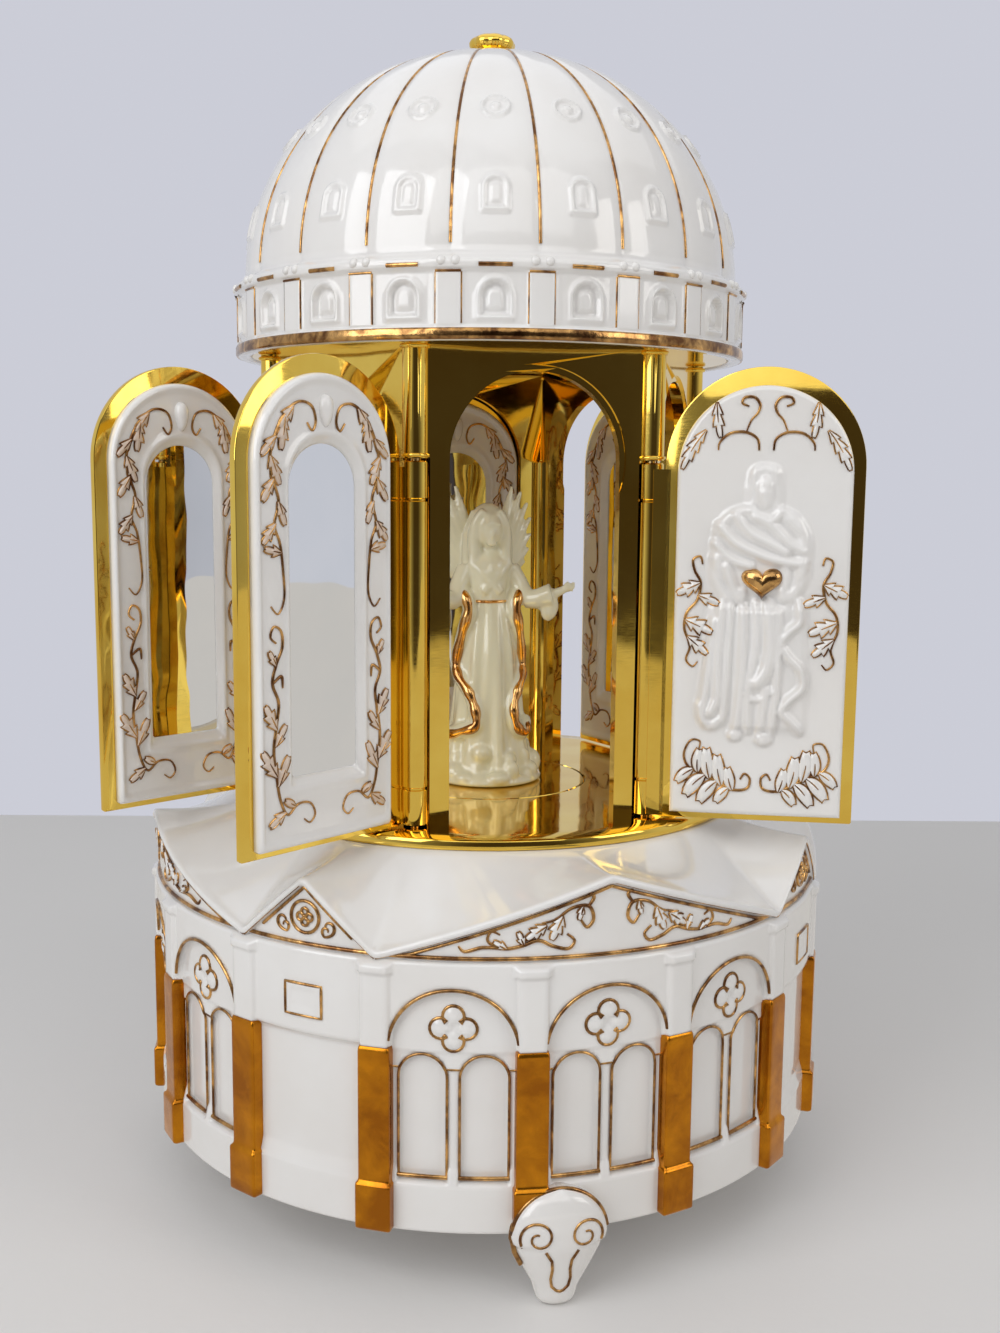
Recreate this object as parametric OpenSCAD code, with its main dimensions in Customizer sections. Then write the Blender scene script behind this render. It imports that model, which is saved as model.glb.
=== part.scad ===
// Carousel music box: a round porcelain base with an arcade and pediments, a gilt six-sided
// cabinet with hinged doors, a turning figure inside, a ribbed dome, and a wind-up movement.
// Millimetres. Z is up and the origin is on the axis at table level. The cabinet's front face
// looks along -Y. Angles round the axis count from -Y towards +X.

/* [Base casting] */
// Outer radius of the base wall
base_r = 74; // [72:0.5:78]
// Clear height under the base wall
base_clear = 14.4; // [13.6:0.2:18]
// Height of the base wall
wall_h = 53.1; // [51:0.5:58]
// Thickness of the base wall
wall_t = 4; // [3:0.25:5]
// Height of the plinth round the foot of the wall
plinth_h = 9.4; // [8:0.2:10.5]
// How far the plinth stands out from the wall
plinth_out = 0.9; // [0.5:0.1:1.5]
// Height of the band below the pediments
band_h = 17.3; // [16:0.1:18]
// How far the band stands out from the wall
band_out = 1.4; // [0.8:0.1:2]
// Turn of the arcade against the cabinet in degrees
base_turn = 5.3; // [-11:0.1:11]

/* [Arcade and pediments] */
// Radius of the big arches
arch_r = 12; // [11:0.1:12.4]
// Height of the crown of the big arches above the wall's foot
arch_top = 48; // [46:0.5:50]
// Width of a lancet window
lancet_w = 9.2; // [7:0.2:9.6]
// Gap between the two lancet windows of a bay
lancet_gap = 2.4; // [1.6:0.2:3]
// Height of a lancet window's crown above the wall's foot
lancet_top = 35; // [32:0.5:36]
// Depth of a lancet window
lancet_depth = 1.1; // [0.8:0.1:1.5]
// Width of a pilaster
pilaster_w = 6.2; // [5:0.2:7]
// How far a pilaster stands out from the wall
pilaster_out = 2.6; // [2:0.1:3.5]
// Rise of a wide pediment above the wall
wide_rise = 15.9; // [14:0.1:16]
// Rise of a small pediment above the wall
small_rise = 14; // [12:0.1:15]
// Rise of the roof from the wall to the deck
deck_rise = 16; // [15:0.5:20]

/* [Feet] */
// Width of a foot
foot_w = 18.6; // [16:0.2:22]
// Height of a foot's crown above the base wall's edge
foot_lap = 9.8; // [8:0.1:9.8]
// How far in from the wall's face a foot's toe stands
toe_in = 1; // [-1:0.5:4]
// Turn of the front foot against the cabinet in degrees
feet_turn = -2; // [-10:0.5:10]

/* [Deck and turntable] */
// Radius of the gilt deck
deck_r = 57.2; // [55:0.2:60]
// Thickness of the gilt deck
deck_t = 2.2; // [2:0.1:3]
// Radius of the turntable
turntable_r = 22.6; // [18:0.2:26]
// Radial gap between the turntable and the deck
turntable_gap = 0.3; // [0.2:0.05:0.6]
// Height of the figure without its wings
figure_h = 63; // [55:0.5:70]

/* [Cabinet] */
// Radius of the circle through the six hinge pins
post_circle_r = 48.2; // [47:0.1:50]
// Height of the cabinet above the deck
cabinet_h = 94.9; // [93.5:0.1:105]
// Thickness of the cabinet's walls
cage_t = 3; // [2.5:0.1:4]
// Half width of a doorway
doorway_hw = 17.3; // [16.6:0.1:17.6]
// Height of the doorways' spring line above the deck
spring_h = 72.8; // [65:0.2:73.5]
// Radius of a post and of a hinge barrel
barrel_r = 2.5; // [2.2:0.1:2.6]
// Radius of a hinge pin
pin_r = 0.9; // [0.7:0.05:1.2]

/* [Doors] */
// Thickness of a door's gilt panel
panel_t = 1.6; // [1.2:0.1:2]
// Thickness of a door's outer plaque
plaque_t = 1.8; // [1:0.1:2]
// Thickness of a door's inner frame
lining_t = 2.2; // [1.8:0.1:2.6]
// Margin of gilt round the outer plaque
plaque_margin = 2.4; // [1.6:0.1:4]
// Half width of the mirror window
window_hw = 7.8; // [6:0.1:10]
// Height of the mirror window's sill above the door's foot
window_sill = 14.4; // [10:0.2:20]
// Angles by which the six doors stand open, from the front door counter-clockwise
door_open = [146, 81.5, 9.5, 0, 0, 90]; // [0:0.5:155]

/* [Dome] */
// Radius of the dome's drum
drum_r = 55.7; // [55:0.1:60]
// Height of the drum
drum_h = 15; // [14:0.2:17]
// Radius of the dome where it springs from the drum
dome_r = 53.6; // [52:0.1:54]
// Height of the dome above its spring line
dome_rise = 49.3; // [45:0.5:55]
// Thickness of the dome's shell
dome_t = 3; // [2.5:0.1:4]
// Turn of the dome's ribs against the cabinet in degrees
dome_turn = 6.2; // [-9:0.1:9]
// Radius of the finial's knob
knob_r = 5; // [4:0.1:6]

/* [Movement] */
// Radius of the spring barrel
spring_barrel_r = 14.2; // [13.6:0.1:14.4]
// Height of the spring barrel
spring_barrel_h = 11; // [9:0.2:13]
// Teeth on the barrel's crown wheel
crown_teeth = 48; // [48:1:48]
// Teeth on the cylinder's pinion
pinion_teeth = 16; // [16:1:16]
// Radius of the pinned cylinder
drum_pin_r = 6.5; // [5.5:0.1:6.6]
// Length of the pinned cylinder
cylinder_l = 26; // [20:0.5:28]
// Notes on the comb
comb_notes = 18; // [12:1:20]
// Teeth on the cylinder's wheel
wheel_teeth = 40; // [40:1:40]
// Teeth on the governor's pinion
governor_teeth = 10; // [10:1:10]
// Radius of the key's arbor
arbor_r = 1.8; // [1.5:0.1:2]
// Radius of the turntable's spindle
spindle_r = 2; // [1.6:0.1:2.4]
// Width across the wings of the winding key
key_w = 24; // [18:0.5:30]

/* [Hidden] */
$fn = 96;
// Radial running clearance of shafts and pins in their bores
running_gap = 0.05;
// Gap between faces that pass each other
face_gap = 0.3;
// Overlap that lets cuts and joined forms run past each other
over = 0.5;

sides = ["front", "front_right", "back_right", "back", "back_left", "front_left"];
door_parts = ["panel", "plaque", "lining", "mirror"];
bays = 16;
bay_deg = 360 / bays;
pediments = 4;
wide_half = 1.5 * bay_deg;
small_half = 0.5 * bay_deg;
ribs = 20;
feet = 3;

wall_top = base_clear + wall_h;
toe_r = base_r - toe_in;
plinth_top = base_clear + plinth_h;
band_z = wall_top - band_h;
pilaster_top = band_z + 0.5;
wall_in_r = base_r - wall_t;
cornice_r = base_r + band_out + 0.4;
eaves_z = wall_top + 1.3;
eaves_t = 1.6;
lancet_step = lancet_top - 2.9;
ground_depth = 0.4;
plate_gap = 0.6;
plate_t = 2;
plate_z = base_clear + plate_gap;
ledge_z = plate_z + plate_t;
plate_r = wall_in_r + 0.8;
boss_at = wall_in_r - 3.5;
boss_deg = 60;

under_deck = wall_top + deck_rise;
deck_z = under_deck + deck_t;
rim_in_r = deck_r - 7;
turntable_t = 1;
turntable_z = deck_z - turntable_t;
bush_r = 5;
bush_h = 4.5;

face_at = post_circle_r * cos(30);
face_out = 0.7;
cage_out = face_at + face_out;
cage_in = cage_out - cage_t;
pocket_r = barrel_r + 0.4;
web_r = pocket_r + 1.6;
spring_z = deck_z + spring_h;
cage_top = deck_z + cabinet_h;
barrel_foot = deck_z + 0.4;
barrel_top = spring_z - 0.3;
pocket_top = spring_z + 0.2;
pin_foot = under_deck + 0.4;
pin_top = spring_z + 6;
moulding = 1.2;
moulding_depth = 0.5;

panel_n = 1;
panel_x0 = barrel_r + 0.5;
panel_x1 = post_circle_r / 2 + doorway_hw + 0.6;
panel_hw = (panel_x1 - panel_x0) / 2;
panel_mid = (panel_x1 + panel_x0) / 2;
panel_spring = spring_z - 0.9;
plaque_foot = barrel_foot + 1.4;
plaque_crown_drop = 3.7;
lining_x0 = post_circle_r / 2 - doorway_hw + 0.4;
lining_x1 = panel_x1 - 2.8;
lining_hw = (lining_x1 - lining_x0) / 2;
lining_mid = (lining_x1 + lining_x0) / 2;
lining_spring = panel_spring;
window_spring = spring_z - 5.3;
mirror_t = 0.8;
mirror_lap = 1.4;

ceiling_t = 2;
drum_z = cage_top - 0.3;
dome_z = drum_z + drum_h + 0.7;
drum_in_r = dome_r - 0.9;
ceiling_r = drum_in_r - 0.3;
dome_bands = 24;
gilt_band_h = 2.3;
cornice_h = 1.6;
rod_r = 1.5;
crown_z = dome_z + dome_rise;

bed_t = 2;
bed_z = ledge_z;
bed_top = bed_z + bed_t;
barrel_z = bed_top + 1;
lid_z = barrel_z + spring_barrel_h;
lid_t = 1;
tooth_h = 1.2;
key_z = 5;
crown_r = 14.45;
crown_pitch = 2 * PI * crown_r / crown_teeth;
pinion_r = crown_pitch * pinion_teeth / (2 * PI);
pinion_w = 1.4;
addendum = 0.5;
shaft_z = lid_z + lid_t + tooth_h - addendum + pinion_r;
shaft_r = 1;
inner_cock_x = crown_r + 1.55;
cock_t = 1.5;
cylinder_x = inner_cock_x + cock_t + 0.6;
wheel_x = cylinder_x + cylinder_l + 1;
wheel_t = 1.2;
outer_cock_x = wheel_x + wheel_t + 0.6;
shaft_end = outer_cock_x + cock_t + 0.5;
wheel_m = 0.5;
wheel_r = wheel_m * wheel_teeth / 2;
governor_r = wheel_m * governor_teeth / 2;
governor_y = -(wheel_r + governor_r + 0.1);
fan_r = 4.4;
comb_t = 1;
comb_gap = 1.0;
comb_y0 = drum_pin_r + comb_gap;
comb_root_y = comb_y0 + 13;
comb_y1 = comb_root_y + 8;
comb_foot_h = shaft_z - comb_t / 2;

// Puts children on the ray at an angle round the axis, looking outwards along -Y
module at(deg, r = 0) {
    rotate([0, 0, deg]) translate([0, -r, 0]) children();
}

// Turns an extrusion drawn in X and Y so that it rises in Z and grows outwards
module facing(deg, z = 0, r = 0) {
    at(deg, r) translate([0, 0, z]) rotate([90, 0, 0]) children();
}

// A block whose outline is a rectangle with a round head; it runs from y0 to y1
module arched_block(x_mid, half, z0, z_spring, y0, y1) {
    translate([x_mid - half, y0, z0]) cube([2 * half, y1 - y0, z_spring - z0]);
    translate([x_mid, y1, z_spring]) rotate([90, 0, 0]) cylinder(r = half, h = y1 - y0);
}

// A round shaft along +X
module shaft_x(x0, x1, y, r) {
    translate([x0, y, shaft_z]) rotate([0, 90, 0]) cylinder(r = r, h = x1 - x0, $fn = 48);
}

// ---- Base casting ----

function bay_at(k) = base_turn + k * bay_deg;

// Height of the roof's edge at an angle: wide and small gables alternate round the wall
function gable_share(d, half) = 1 - abs(d) / half;
function from_wide(deg) = (deg + 45) % 90 - 45;
function gable_z(deg) = let (d = from_wide(deg))
    abs(d) <= wide_half
        ? eaves_z + (wide_rise - 1.3) * gable_share(d, wide_half)
        : eaves_z + (small_rise - 1.3) * gable_share(45 - abs(d), small_half);

module wall_ring() {
    rotate_extrude() polygon([
        [wall_in_r, ledge_z], [plate_r + 0.1, ledge_z], [plate_r + 0.1, base_clear],
        [base_r + plinth_out - 0.5, base_clear], [base_r + plinth_out, base_clear + 0.5],
        [base_r + plinth_out, plinth_top], [base_r, plinth_top + 2.8],
        [base_r, band_z], [base_r + band_out, band_z + 0.8],
        [base_r + band_out, wall_top - 0.4], [base_r + band_out - 0.4, wall_top],
        [wall_in_r, wall_top]]);
}

// The star-shaped roof: straight slopes from the gabled edge up to the flat seat of the deck
module roof() {
    step = small_half / 3;
    steps = 360 / step;
    shell = 3.5;
    section = [for (i = [0:steps - 1]) let (g = gable_z(i * step), a = i * step + base_turn)
        [for (p = [[cornice_r, g - eaves_t], [cornice_r, g], [deck_r, under_deck],
                   [rim_in_r, under_deck], [rim_in_r, under_deck - shell],
                   [deck_r, under_deck - shell], [wall_in_r + 0.5, wall_top - 1.5],
                   [wall_in_r + 0.5, band_z + 8], [base_r + 0.4, band_z + 8],
                   [base_r + 0.4, g - eaves_t]])
            [p[0] * sin(a), -p[0] * cos(a), p[1]]]];
    n = len(section[0]);
    points = [for (ring = section) each ring];
    faces = [for (i = [0:steps - 1], j = [0:n - 1])
        let (a = i * n + j, b = i * n + (j + 1) % n,
             c = ((i + 1) % steps) * n + (j + 1) % n, d = ((i + 1) % steps) * n + j)
        each [[a, b, c], [a, c, d]]];
    polyhedron(points, faces);
}

module pilaster_base(k) {
    facing(bay_at(k + 0.5), base_clear + 0.5, base_r - 2)
        translate([-pilaster_w / 2 - 0.4, 0, 0]) cube([pilaster_w + 0.8, plinth_h, pilaster_out + 2.5]);
}

module pilaster(k) {
    facing(bay_at(k + 0.5), 0, base_r - 2) {
        translate([-pilaster_w / 2, plinth_top - over, 0])
            cube([pilaster_w, pilaster_top - plinth_top + over, pilaster_out + 2]);
        translate([-pilaster_w / 2 + 0.3, pilaster_top - 0.2, 0])
            cube([pilaster_w - 0.6, wall_top - pilaster_top - 1.3, band_out + 2.7]);
        translate([-pilaster_w / 2 - 0.3, wall_top - 2.6, 0])
            cube([pilaster_w + 0.6, 2, band_out + 3.2]);
    }
}

module lancets(k) {
    lancet_sill = plinth_top + 0.6;
    head_r = lancet_w / 2;
    difference() {
        for (s = [-1, 1])
            facing(bay_at(k), 0, base_r - 4) {
                x = s * (lancet_w + lancet_gap) / 2;
                translate([x - head_r, lancet_sill, 0])
                    cube([lancet_w, base_clear + lancet_top - head_r - lancet_sill, 8]);
                translate([x, base_clear + lancet_top - head_r, 0]) cylinder(r = head_r, h = 8);
            }
        cylinder(r = base_r - lancet_depth, h = wall_top);
    }
}

// The wall of an arcaded bay is let in a little from the shoulder up to the lancets' spring line
module bay_ground(k) {
    half = (2 * PI * base_r / bays - pilaster_w) / 2;
    ground_z = plinth_top + 3.3;
    difference() {
        facing(bay_at(k), 0, base_r - 4)
            translate([-half, ground_z, 0]) cube([2 * half, base_clear + lancet_step - ground_z, 8]);
        cylinder(r = base_r - ground_depth, h = wall_top);
    }
}

module big_arch(k) {
    difference() {
        facing(bay_at(k), base_clear + arch_top - arch_r, base_r - 4) cylinder(r = arch_r, h = 8);
        cylinder(r = base_r + 0.15, h = wall_top);
    }
}

// Quatrefoil of four raised lobes under the crown of a big arch
module quatrefoil(k) {
    lobe_r = 1.9;
    lobe_at = 2.5;
    for (q = [0:3])
        facing(bay_at(k), base_clear + arch_top - 8, base_r - 2)
            translate([lobe_at * sin(q * 90), lobe_at * cos(q * 90), 0])
                cylinder(r = lobe_r, h = 2.8, $fn = 32);
}

function has_arch(k) = k % pediments != 2;

module base_casting() color("ivory") {
    difference() {
        union() {
            wall_ring();
            roof();
            for (j = [0:feet - 1])
                at(boss_deg + j * 360 / feet, boss_at)
                    translate([0, 0, ledge_z]) cylinder(r = 4, h = 12);
        }
        for (k = [0:bays - 1]) if (has_arch(k)) big_arch(k);
        for (k = [0:bays - 1]) if (has_arch(k)) bay_ground(k);
        for (k = [0:bays - 1]) if (has_arch(k)) lancets(k);
        for (j = [0:feet - 1])
            at(boss_deg + j * 360 / feet, boss_at)
                translate([0, 0, ledge_z - over]) cylinder(r = 1.2, h = 10 + over, $fn = 32);
    }
    for (k = [0:bays - 1]) pilaster_base(k);
    for (k = [0:bays - 1]) pilaster(k);
    for (k = [0:bays - 1]) if (has_arch(k)) quatrefoil(k);
}

// ---- Feet ----

// A scroll-headed shield; it tapers to a small toe and its back follows the plinth
module foot(deg) color("ivory") {
    crown = base_clear + foot_lap;
    head_r = foot_w / 2;
    toe_hw = foot_w * 0.2;
    nose_r = toe_r + 6.5;
    difference() {
        intersection() {
            facing(deg, 0, toe_r - 12) union() {
                translate([0, crown - head_r, 0]) cylinder(r = head_r, h = 24);
                translate([0, crown - head_r - 7.5, 0]) cylinder(r = head_r * 0.7, h = 24);
                translate([-toe_hw, -over, 0]) cube([2 * toe_hw, crown / 2, 24]);
            }
            at(deg) translate([-head_r - 1, 0, 0]) rotate([90, 0, 90])
                linear_extrude(2 * head_r + 2) polygon([
                    [-toe_r + 9, base_clear + 1], [-toe_r + 3.5, base_clear * 0.45],
                    [-toe_r + 2.6, 0], [-toe_r - 2.6, 0], [-toe_r - 4, 1.6],
                    [-nose_r + 0.6, crown * 0.4], [-nose_r, crown * 0.66],
                    [-nose_r + 0.7, crown * 0.86], [-nose_r + 2.6, crown + over],
                    [-toe_r + 4, crown + over], [-toe_r + 4, base_clear + 1]]);
        }
        translate([0, 0, base_clear]) cylinder(r = base_r + plinth_out, h = plinth_h + 4);
        for (k = [0:bays - 1]) pilaster_base(k);
    }
}

module foot_front() foot(feet_turn);
module foot_right() foot(feet_turn + 120);
module foot_left() foot(feet_turn + 240);

// ---- Underside ----

module bottom_plate() color("silver") difference() {
    translate([0, 0, plate_z]) cylinder(r = plate_r, h = plate_t);
    translate([0, 0, plate_z - over]) cylinder(r = arbor_r + 0.6, h = plate_t + 2 * over);
    for (j = [0:feet - 1])
        at(boss_deg + j * 360 / feet, boss_at)
            translate([0, 0, plate_z - over]) cylinder(r = 1.2, h = plate_t + 2 * over, $fn = 32);
}

module bottom_screws() color("silver")
    for (j = [0:feet - 1])
        at(boss_deg + j * 360 / feet, boss_at) {
            translate([0, 0, plate_z]) cylinder(r = 1.2, h = 9, $fn = 32);
            difference() {
                translate([0, 0, plate_z - 1.4]) cylinder(r = 2.4, h = 1.4, $fn = 32);
                translate([-3, -0.3, plate_z - 1.4 - over]) cube([6, 0.6, 0.6 + over]);
            }
        }

// ---- Deck ----

module deck() color("gold") difference() {
    rotate_extrude() polygon([
        [0, under_deck], [deck_r - 0.6, under_deck], [deck_r, under_deck + 0.6],
        [deck_r, deck_z - 0.6], [deck_r - 0.6, deck_z], [0, deck_z]]);
    translate([0, 0, turntable_z - face_gap])
        cylinder(r = turntable_r + turntable_gap, h = deck_t);
    translate([0, 0, under_deck - over]) cylinder(r = bush_r, h = deck_t);
    for (k = [0:5])
        at(k * 60 - 30, post_circle_r)
            translate([0, 0, pin_foot]) cylinder(r = pin_r, h = deck_t, $fn = 32);
}

module spindle_bush() color("goldenrod") difference() {
    translate([0, 0, turntable_z - face_gap - bush_h]) cylinder(r = bush_r, h = bush_h);
    translate([0, 0, under_deck - bush_h - 2])
        cylinder(r = spindle_r + running_gap, h = bush_h + 4, $fn = 48);
}

module turntable() color("gold") difference() {
    translate([0, 0, turntable_z]) cylinder(r = turntable_r, h = turntable_t);
    translate([0, 0, turntable_z - over]) cylinder(r = spindle_r, h = over + 0.5, $fn = 48);
}

// ---- Cabinet ----

module hexagon(apothem, z0, z1) {
    translate([0, 0, z0]) cylinder(r = apothem / cos(30), h = z1 - z0, $fn = 6);
}

module at_posts() {
    for (k = [0:5]) at(k * 60 - 30, post_circle_r) children();
}

// Six arched walls joined at their corners; the hinge barrels stand in pockets in the corners
module cage() color("gold") difference() {
    union() {
        difference() {
            hexagon(cage_out, deck_z, cage_top);
            hexagon(cage_in, deck_z - over, cage_top + over);
        }
        intersection() {
            hexagon(cage_out, deck_z, pocket_top);
            at_posts() translate([0, 0, deck_z]) cylinder(r = web_r, h = pocket_top - deck_z);
        }
        at_posts() translate([0, 0, pocket_top]) cylinder(r = barrel_r, h = cage_top - pocket_top);
    }
    at_posts() translate([0, 0, deck_z - over]) cylinder(r = pocket_r, h = pocket_top - deck_z + over);
    at_posts() translate([0, 0, pocket_top - over]) cylinder(r = pin_r, h = pin_top - pocket_top + over, $fn = 32);
    for (k = [0:5]) at(k * 60) {
        arched_block(0, doorway_hw, deck_z - over, spring_z, -cage_out - over, -cage_in + over);
        arched_block(0, doorway_hw + moulding, spring_z, spring_z + 0.1,
                     -cage_out - over, -cage_out + moulding_depth);
    }
}

module hinge_pins() color("goldenrod")
    at_posts() translate([0, 0, pin_foot]) cylinder(r = pin_r, h = pin_top - pin_foot, $fn = 32);

module ceiling_plate() color("gold") difference() {
    translate([0, 0, cage_top]) cylinder(r = ceiling_r, h = ceiling_t);
    translate([0, 0, cage_top - over]) cylinder(r = rod_r, h = ceiling_t + 2 * over, $fn = 48);
}

// ---- Doors ----

// A door's own frame: the hinge axis at the origin, the door along +X, its outside towards -Y
module door_at(i) {
    at(i * 60 - 30, post_circle_r) rotate([0, 0, 30 - door_open[i]]) children();
}

module door_panel(i) color("gold") door_at(i) difference() {
    union() {
        translate([0, 0, barrel_foot]) cylinder(r = barrel_r, h = barrel_top - barrel_foot, $fn = 64);
        translate([0, -panel_n - panel_t, barrel_foot])
            cube([panel_x0 + over, panel_t, panel_spring - barrel_foot]);
        arched_block(panel_mid, panel_hw, barrel_foot, panel_spring, -panel_n - panel_t, -panel_n);
    }
    translate([0, 0, barrel_foot - over])
        cylinder(r = pin_r + running_gap, h = barrel_top - barrel_foot + 2 * over, $fn = 48);
}

module door_plaque(i) color("ivory") door_at(i) {
    half = panel_hw - plaque_margin;
    crown = panel_spring + panel_hw - plaque_crown_drop;
    face_y = -panel_n - panel_t;
    arched_block(panel_mid, half, plaque_foot, crown - half, face_y - plaque_t + 0.5, face_y);
    arched_block(panel_mid, half - 0.7, plaque_foot + 0.7, crown - half, face_y - plaque_t, face_y);
}

module door_lining(i) color("ivory") door_at(i) difference() {
    union() {
        arched_block(lining_mid, lining_hw, plaque_foot, lining_spring, -panel_n, -panel_n + lining_t - 0.5);
        arched_block(lining_mid, lining_hw - 0.7, plaque_foot + 0.7, lining_spring,
                     -panel_n, -panel_n + lining_t);
    }
    arched_block(lining_mid, window_hw, barrel_foot + window_sill, window_spring,
                 -panel_n - over, -panel_n + lining_t + over);
    arched_block(lining_mid, window_hw + mirror_lap, barrel_foot + window_sill - mirror_lap,
                 window_spring, -panel_n - over, -panel_n + mirror_t);
}

module door_mirror(i) color("lightsteelblue") door_at(i)
    arched_block(lining_mid, window_hw + mirror_lap - 0.1, barrel_foot + window_sill - mirror_lap + 0.1,
                 window_spring, -panel_n, -panel_n + mirror_t);

// ---- Dome ----

function dome_point(a, grow = 0) = [(dome_r + grow) * cos(a), dome_z + (dome_rise + grow) * sin(a)];

module drum_ring() {
    rotate_extrude() polygon([
        [drum_in_r, drum_z], [drum_r - 0.5, drum_z], [drum_r + 0.2, drum_z + 0.6],
        [drum_r + 0.2, drum_z + gilt_band_h], [drum_r - 0.6, drum_z + gilt_band_h + 0.4],
        [drum_r - 0.6, dome_z - 2.6], [drum_r + 0.2, dome_z - 2.2],
        [drum_r + 0.2, dome_z - 2.2 + cornice_h], [dome_r, dome_z + 0.8], [drum_in_r, dome_z + 0.8]]);
}

module dome() color("ivory") {
    window_sill_z = drum_z + gilt_band_h + 1.6;
    window_hw_drum = 3.1;
    difference() {
        union() {
            drum_ring();
            rotate_extrude() polygon(concat(
                [for (i = [0:dome_bands]) dome_point(i * 90 / dome_bands)],
                [for (i = [dome_bands:-1:0]) dome_point(i * 90 / dome_bands, -dome_t)]));
            for (k = [0:ribs - 1]) at(dome_turn + (k + 0.5) * 360 / ribs) rotate([0, 0, -90.55])
                rotate_extrude(angle = 1.1) polygon(concat(
                    [for (i = [1:2:dome_bands - 2]) dome_point(i * 90 / dome_bands, 0.5)],
                    [for (i = [dome_bands - 3:-2:1]) dome_point(i * 90 / dome_bands, -1)]));
        }
        translate([0, 0, dome_z + dome_rise - 2 * dome_t]) cylinder(r = rod_r, h = 3 * dome_t, $fn = 48);
        difference() {
            for (k = [0:ribs - 1])
                facing(dome_turn + k * 360 / ribs, 0, drum_r - 3) {
                    translate([-window_hw_drum, window_sill_z, 0]) cube([2 * window_hw_drum, 4, 5]);
                    translate([0, window_sill_z + 4, 0]) cylinder(r = window_hw_drum, h = 5, $fn = 48);
                }
            cylinder(r = drum_r - 1.4, h = dome_z + dome_rise);
        }
    }
}

module finial() color("gold") difference() {
    translate([0, 0, crown_z]) rotate_extrude() polygon(concat(
        [[0, 0], [knob_r * 0.86, 0], [knob_r * 0.8, 0.5], [knob_r * 0.5, 1]],
        [for (a = [-40:10:70]) [knob_r * cos(a), knob_r * 0.44 * (sin(a) + 1) + 0.55]],
        [[0, knob_r * 0.88 + 0.4]]));
    translate([0, 0, crown_z - 1]) cylinder(r = rod_r, h = 3, $fn = 48);
}

module tie_rod() color("silver") {
    translate([0, 0, cage_top - 1.6]) cylinder(r = rod_r, h = crown_z + 2 - cage_top + 1.6, $fn = 48);
    translate([0, 0, cage_top - 1.6]) cylinder(r = 3, h = 1.6, $fn = 48);
}

// ---- Movement ----

module bedplate() color("goldenrod") difference() {
    translate([-20, governor_y - 8, bed_z]) cube([outer_cock_x + cock_t + 24, comb_y1 - governor_y + 12, bed_t]);
    translate([0, 0, bed_z - over]) cylinder(r = arbor_r + running_gap, h = bed_t + 2 * over, $fn = 48);
}

// Two uprights that carry the cylinder's and the governor's shafts, and the comb's block
module movement_cocks() color("goldenrod") {
    cock_top = shaft_z + 4;
    difference() {
        for (x = [inner_cock_x, outer_cock_x])
            translate([x, governor_y - 4, bed_top]) cube([cock_t, 4.5 - governor_y + 4, cock_top - bed_top]);
        shaft_x(inner_cock_x - over, shaft_end + over, 0, shaft_r + running_gap);
        shaft_x(inner_cock_x - over, shaft_end + over, governor_y, shaft_r / 2 + running_gap);
    }
    difference() {
        translate([cylinder_x, comb_root_y, bed_top]) cube([cylinder_l, comb_y1 - comb_root_y, comb_foot_h - bed_top]);
        for (x = [0.2, 0.8])
            translate([cylinder_x + x * cylinder_l, comb_root_y + 4, comb_foot_h - 6]) cylinder(r = 0.9, h = 7, $fn = 32);
    }
}

module comb() color("silver") {
    pitch = cylinder_l / comb_notes;
    difference() {
        translate([cylinder_x, comb_root_y, comb_foot_h]) cube([cylinder_l, comb_y1 - comb_root_y, comb_t]);
        for (x = [0.2, 0.8])
            translate([cylinder_x + x * cylinder_l, comb_root_y + 4, comb_foot_h - over])
                cylinder(r = 0.9, h = comb_t + 2 * over, $fn = 32);
    }
    for (i = [0:comb_notes - 1])
        translate([cylinder_x + (i + 0.15) * pitch, comb_y0, comb_foot_h])
            cube([0.7 * pitch, comb_root_y - comb_y0 + over, comb_t]);
}

module comb_screws() color("steelblue")
    for (x = [0.2, 0.8])
        translate([cylinder_x + x * cylinder_l, comb_root_y + 4, comb_foot_h - 5]) {
            cylinder(r = 0.9, h = 5 + comb_t, $fn = 32);
            translate([0, 0, 5 + comb_t]) cylinder(r = 2, h = 1, $fn = 32);
        }

module spring_barrel() color("goldenrod") difference() {
    translate([0, 0, barrel_z]) cylinder(r = spring_barrel_r, h = spring_barrel_h);
    translate([0, 0, barrel_z + 1.2]) cylinder(r = spring_barrel_r - 1.2, h = spring_barrel_h);
    translate([0, 0, barrel_z - over]) cylinder(r = arbor_r + running_gap, h = 3, $fn = 48);
}

module barrel_lid() color("goldenrod") difference() {
    union() {
        translate([0, 0, lid_z]) cylinder(r = crown_r + 0.75, h = lid_t);
        translate([0, 0, lid_z + lid_t - over]) cylinder(r = 2 * spindle_r, h = 5 + over);
        for (i = [0:crown_teeth - 1])
            at((i + 0.5) * 360 / crown_teeth, crown_r - 0.7)
                translate([-0.3, -1.4, lid_z + lid_t - 0.2]) cube([0.6, 1.4, tooth_h + 0.2]);
    }
    translate([0, 0, lid_z + lid_t]) cylinder(r = spindle_r, h = 8, $fn = 48);
}

module mainspring() color("steelblue") {
    turns = 7;
    strip = 0.35;
    r0 = 2 * arbor_r + 0.25;
    r1 = spring_barrel_r - 1.2 - strip;
    steps = turns * 24;
    spiral = [for (i = [0:steps]) let (r = r0 + (r1 - r0) * i / steps, a = i * 15) [r * cos(a), r * sin(a)]];
    back = [for (i = [steps:-1:0]) let (r = r0 + strip + (r1 - r0) * i / steps, a = i * 15) [r * cos(a), r * sin(a)]];
    translate([0, 0, barrel_z + 1.6]) linear_extrude(spring_barrel_h - 2) polygon(concat(spiral, back));
}

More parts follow.
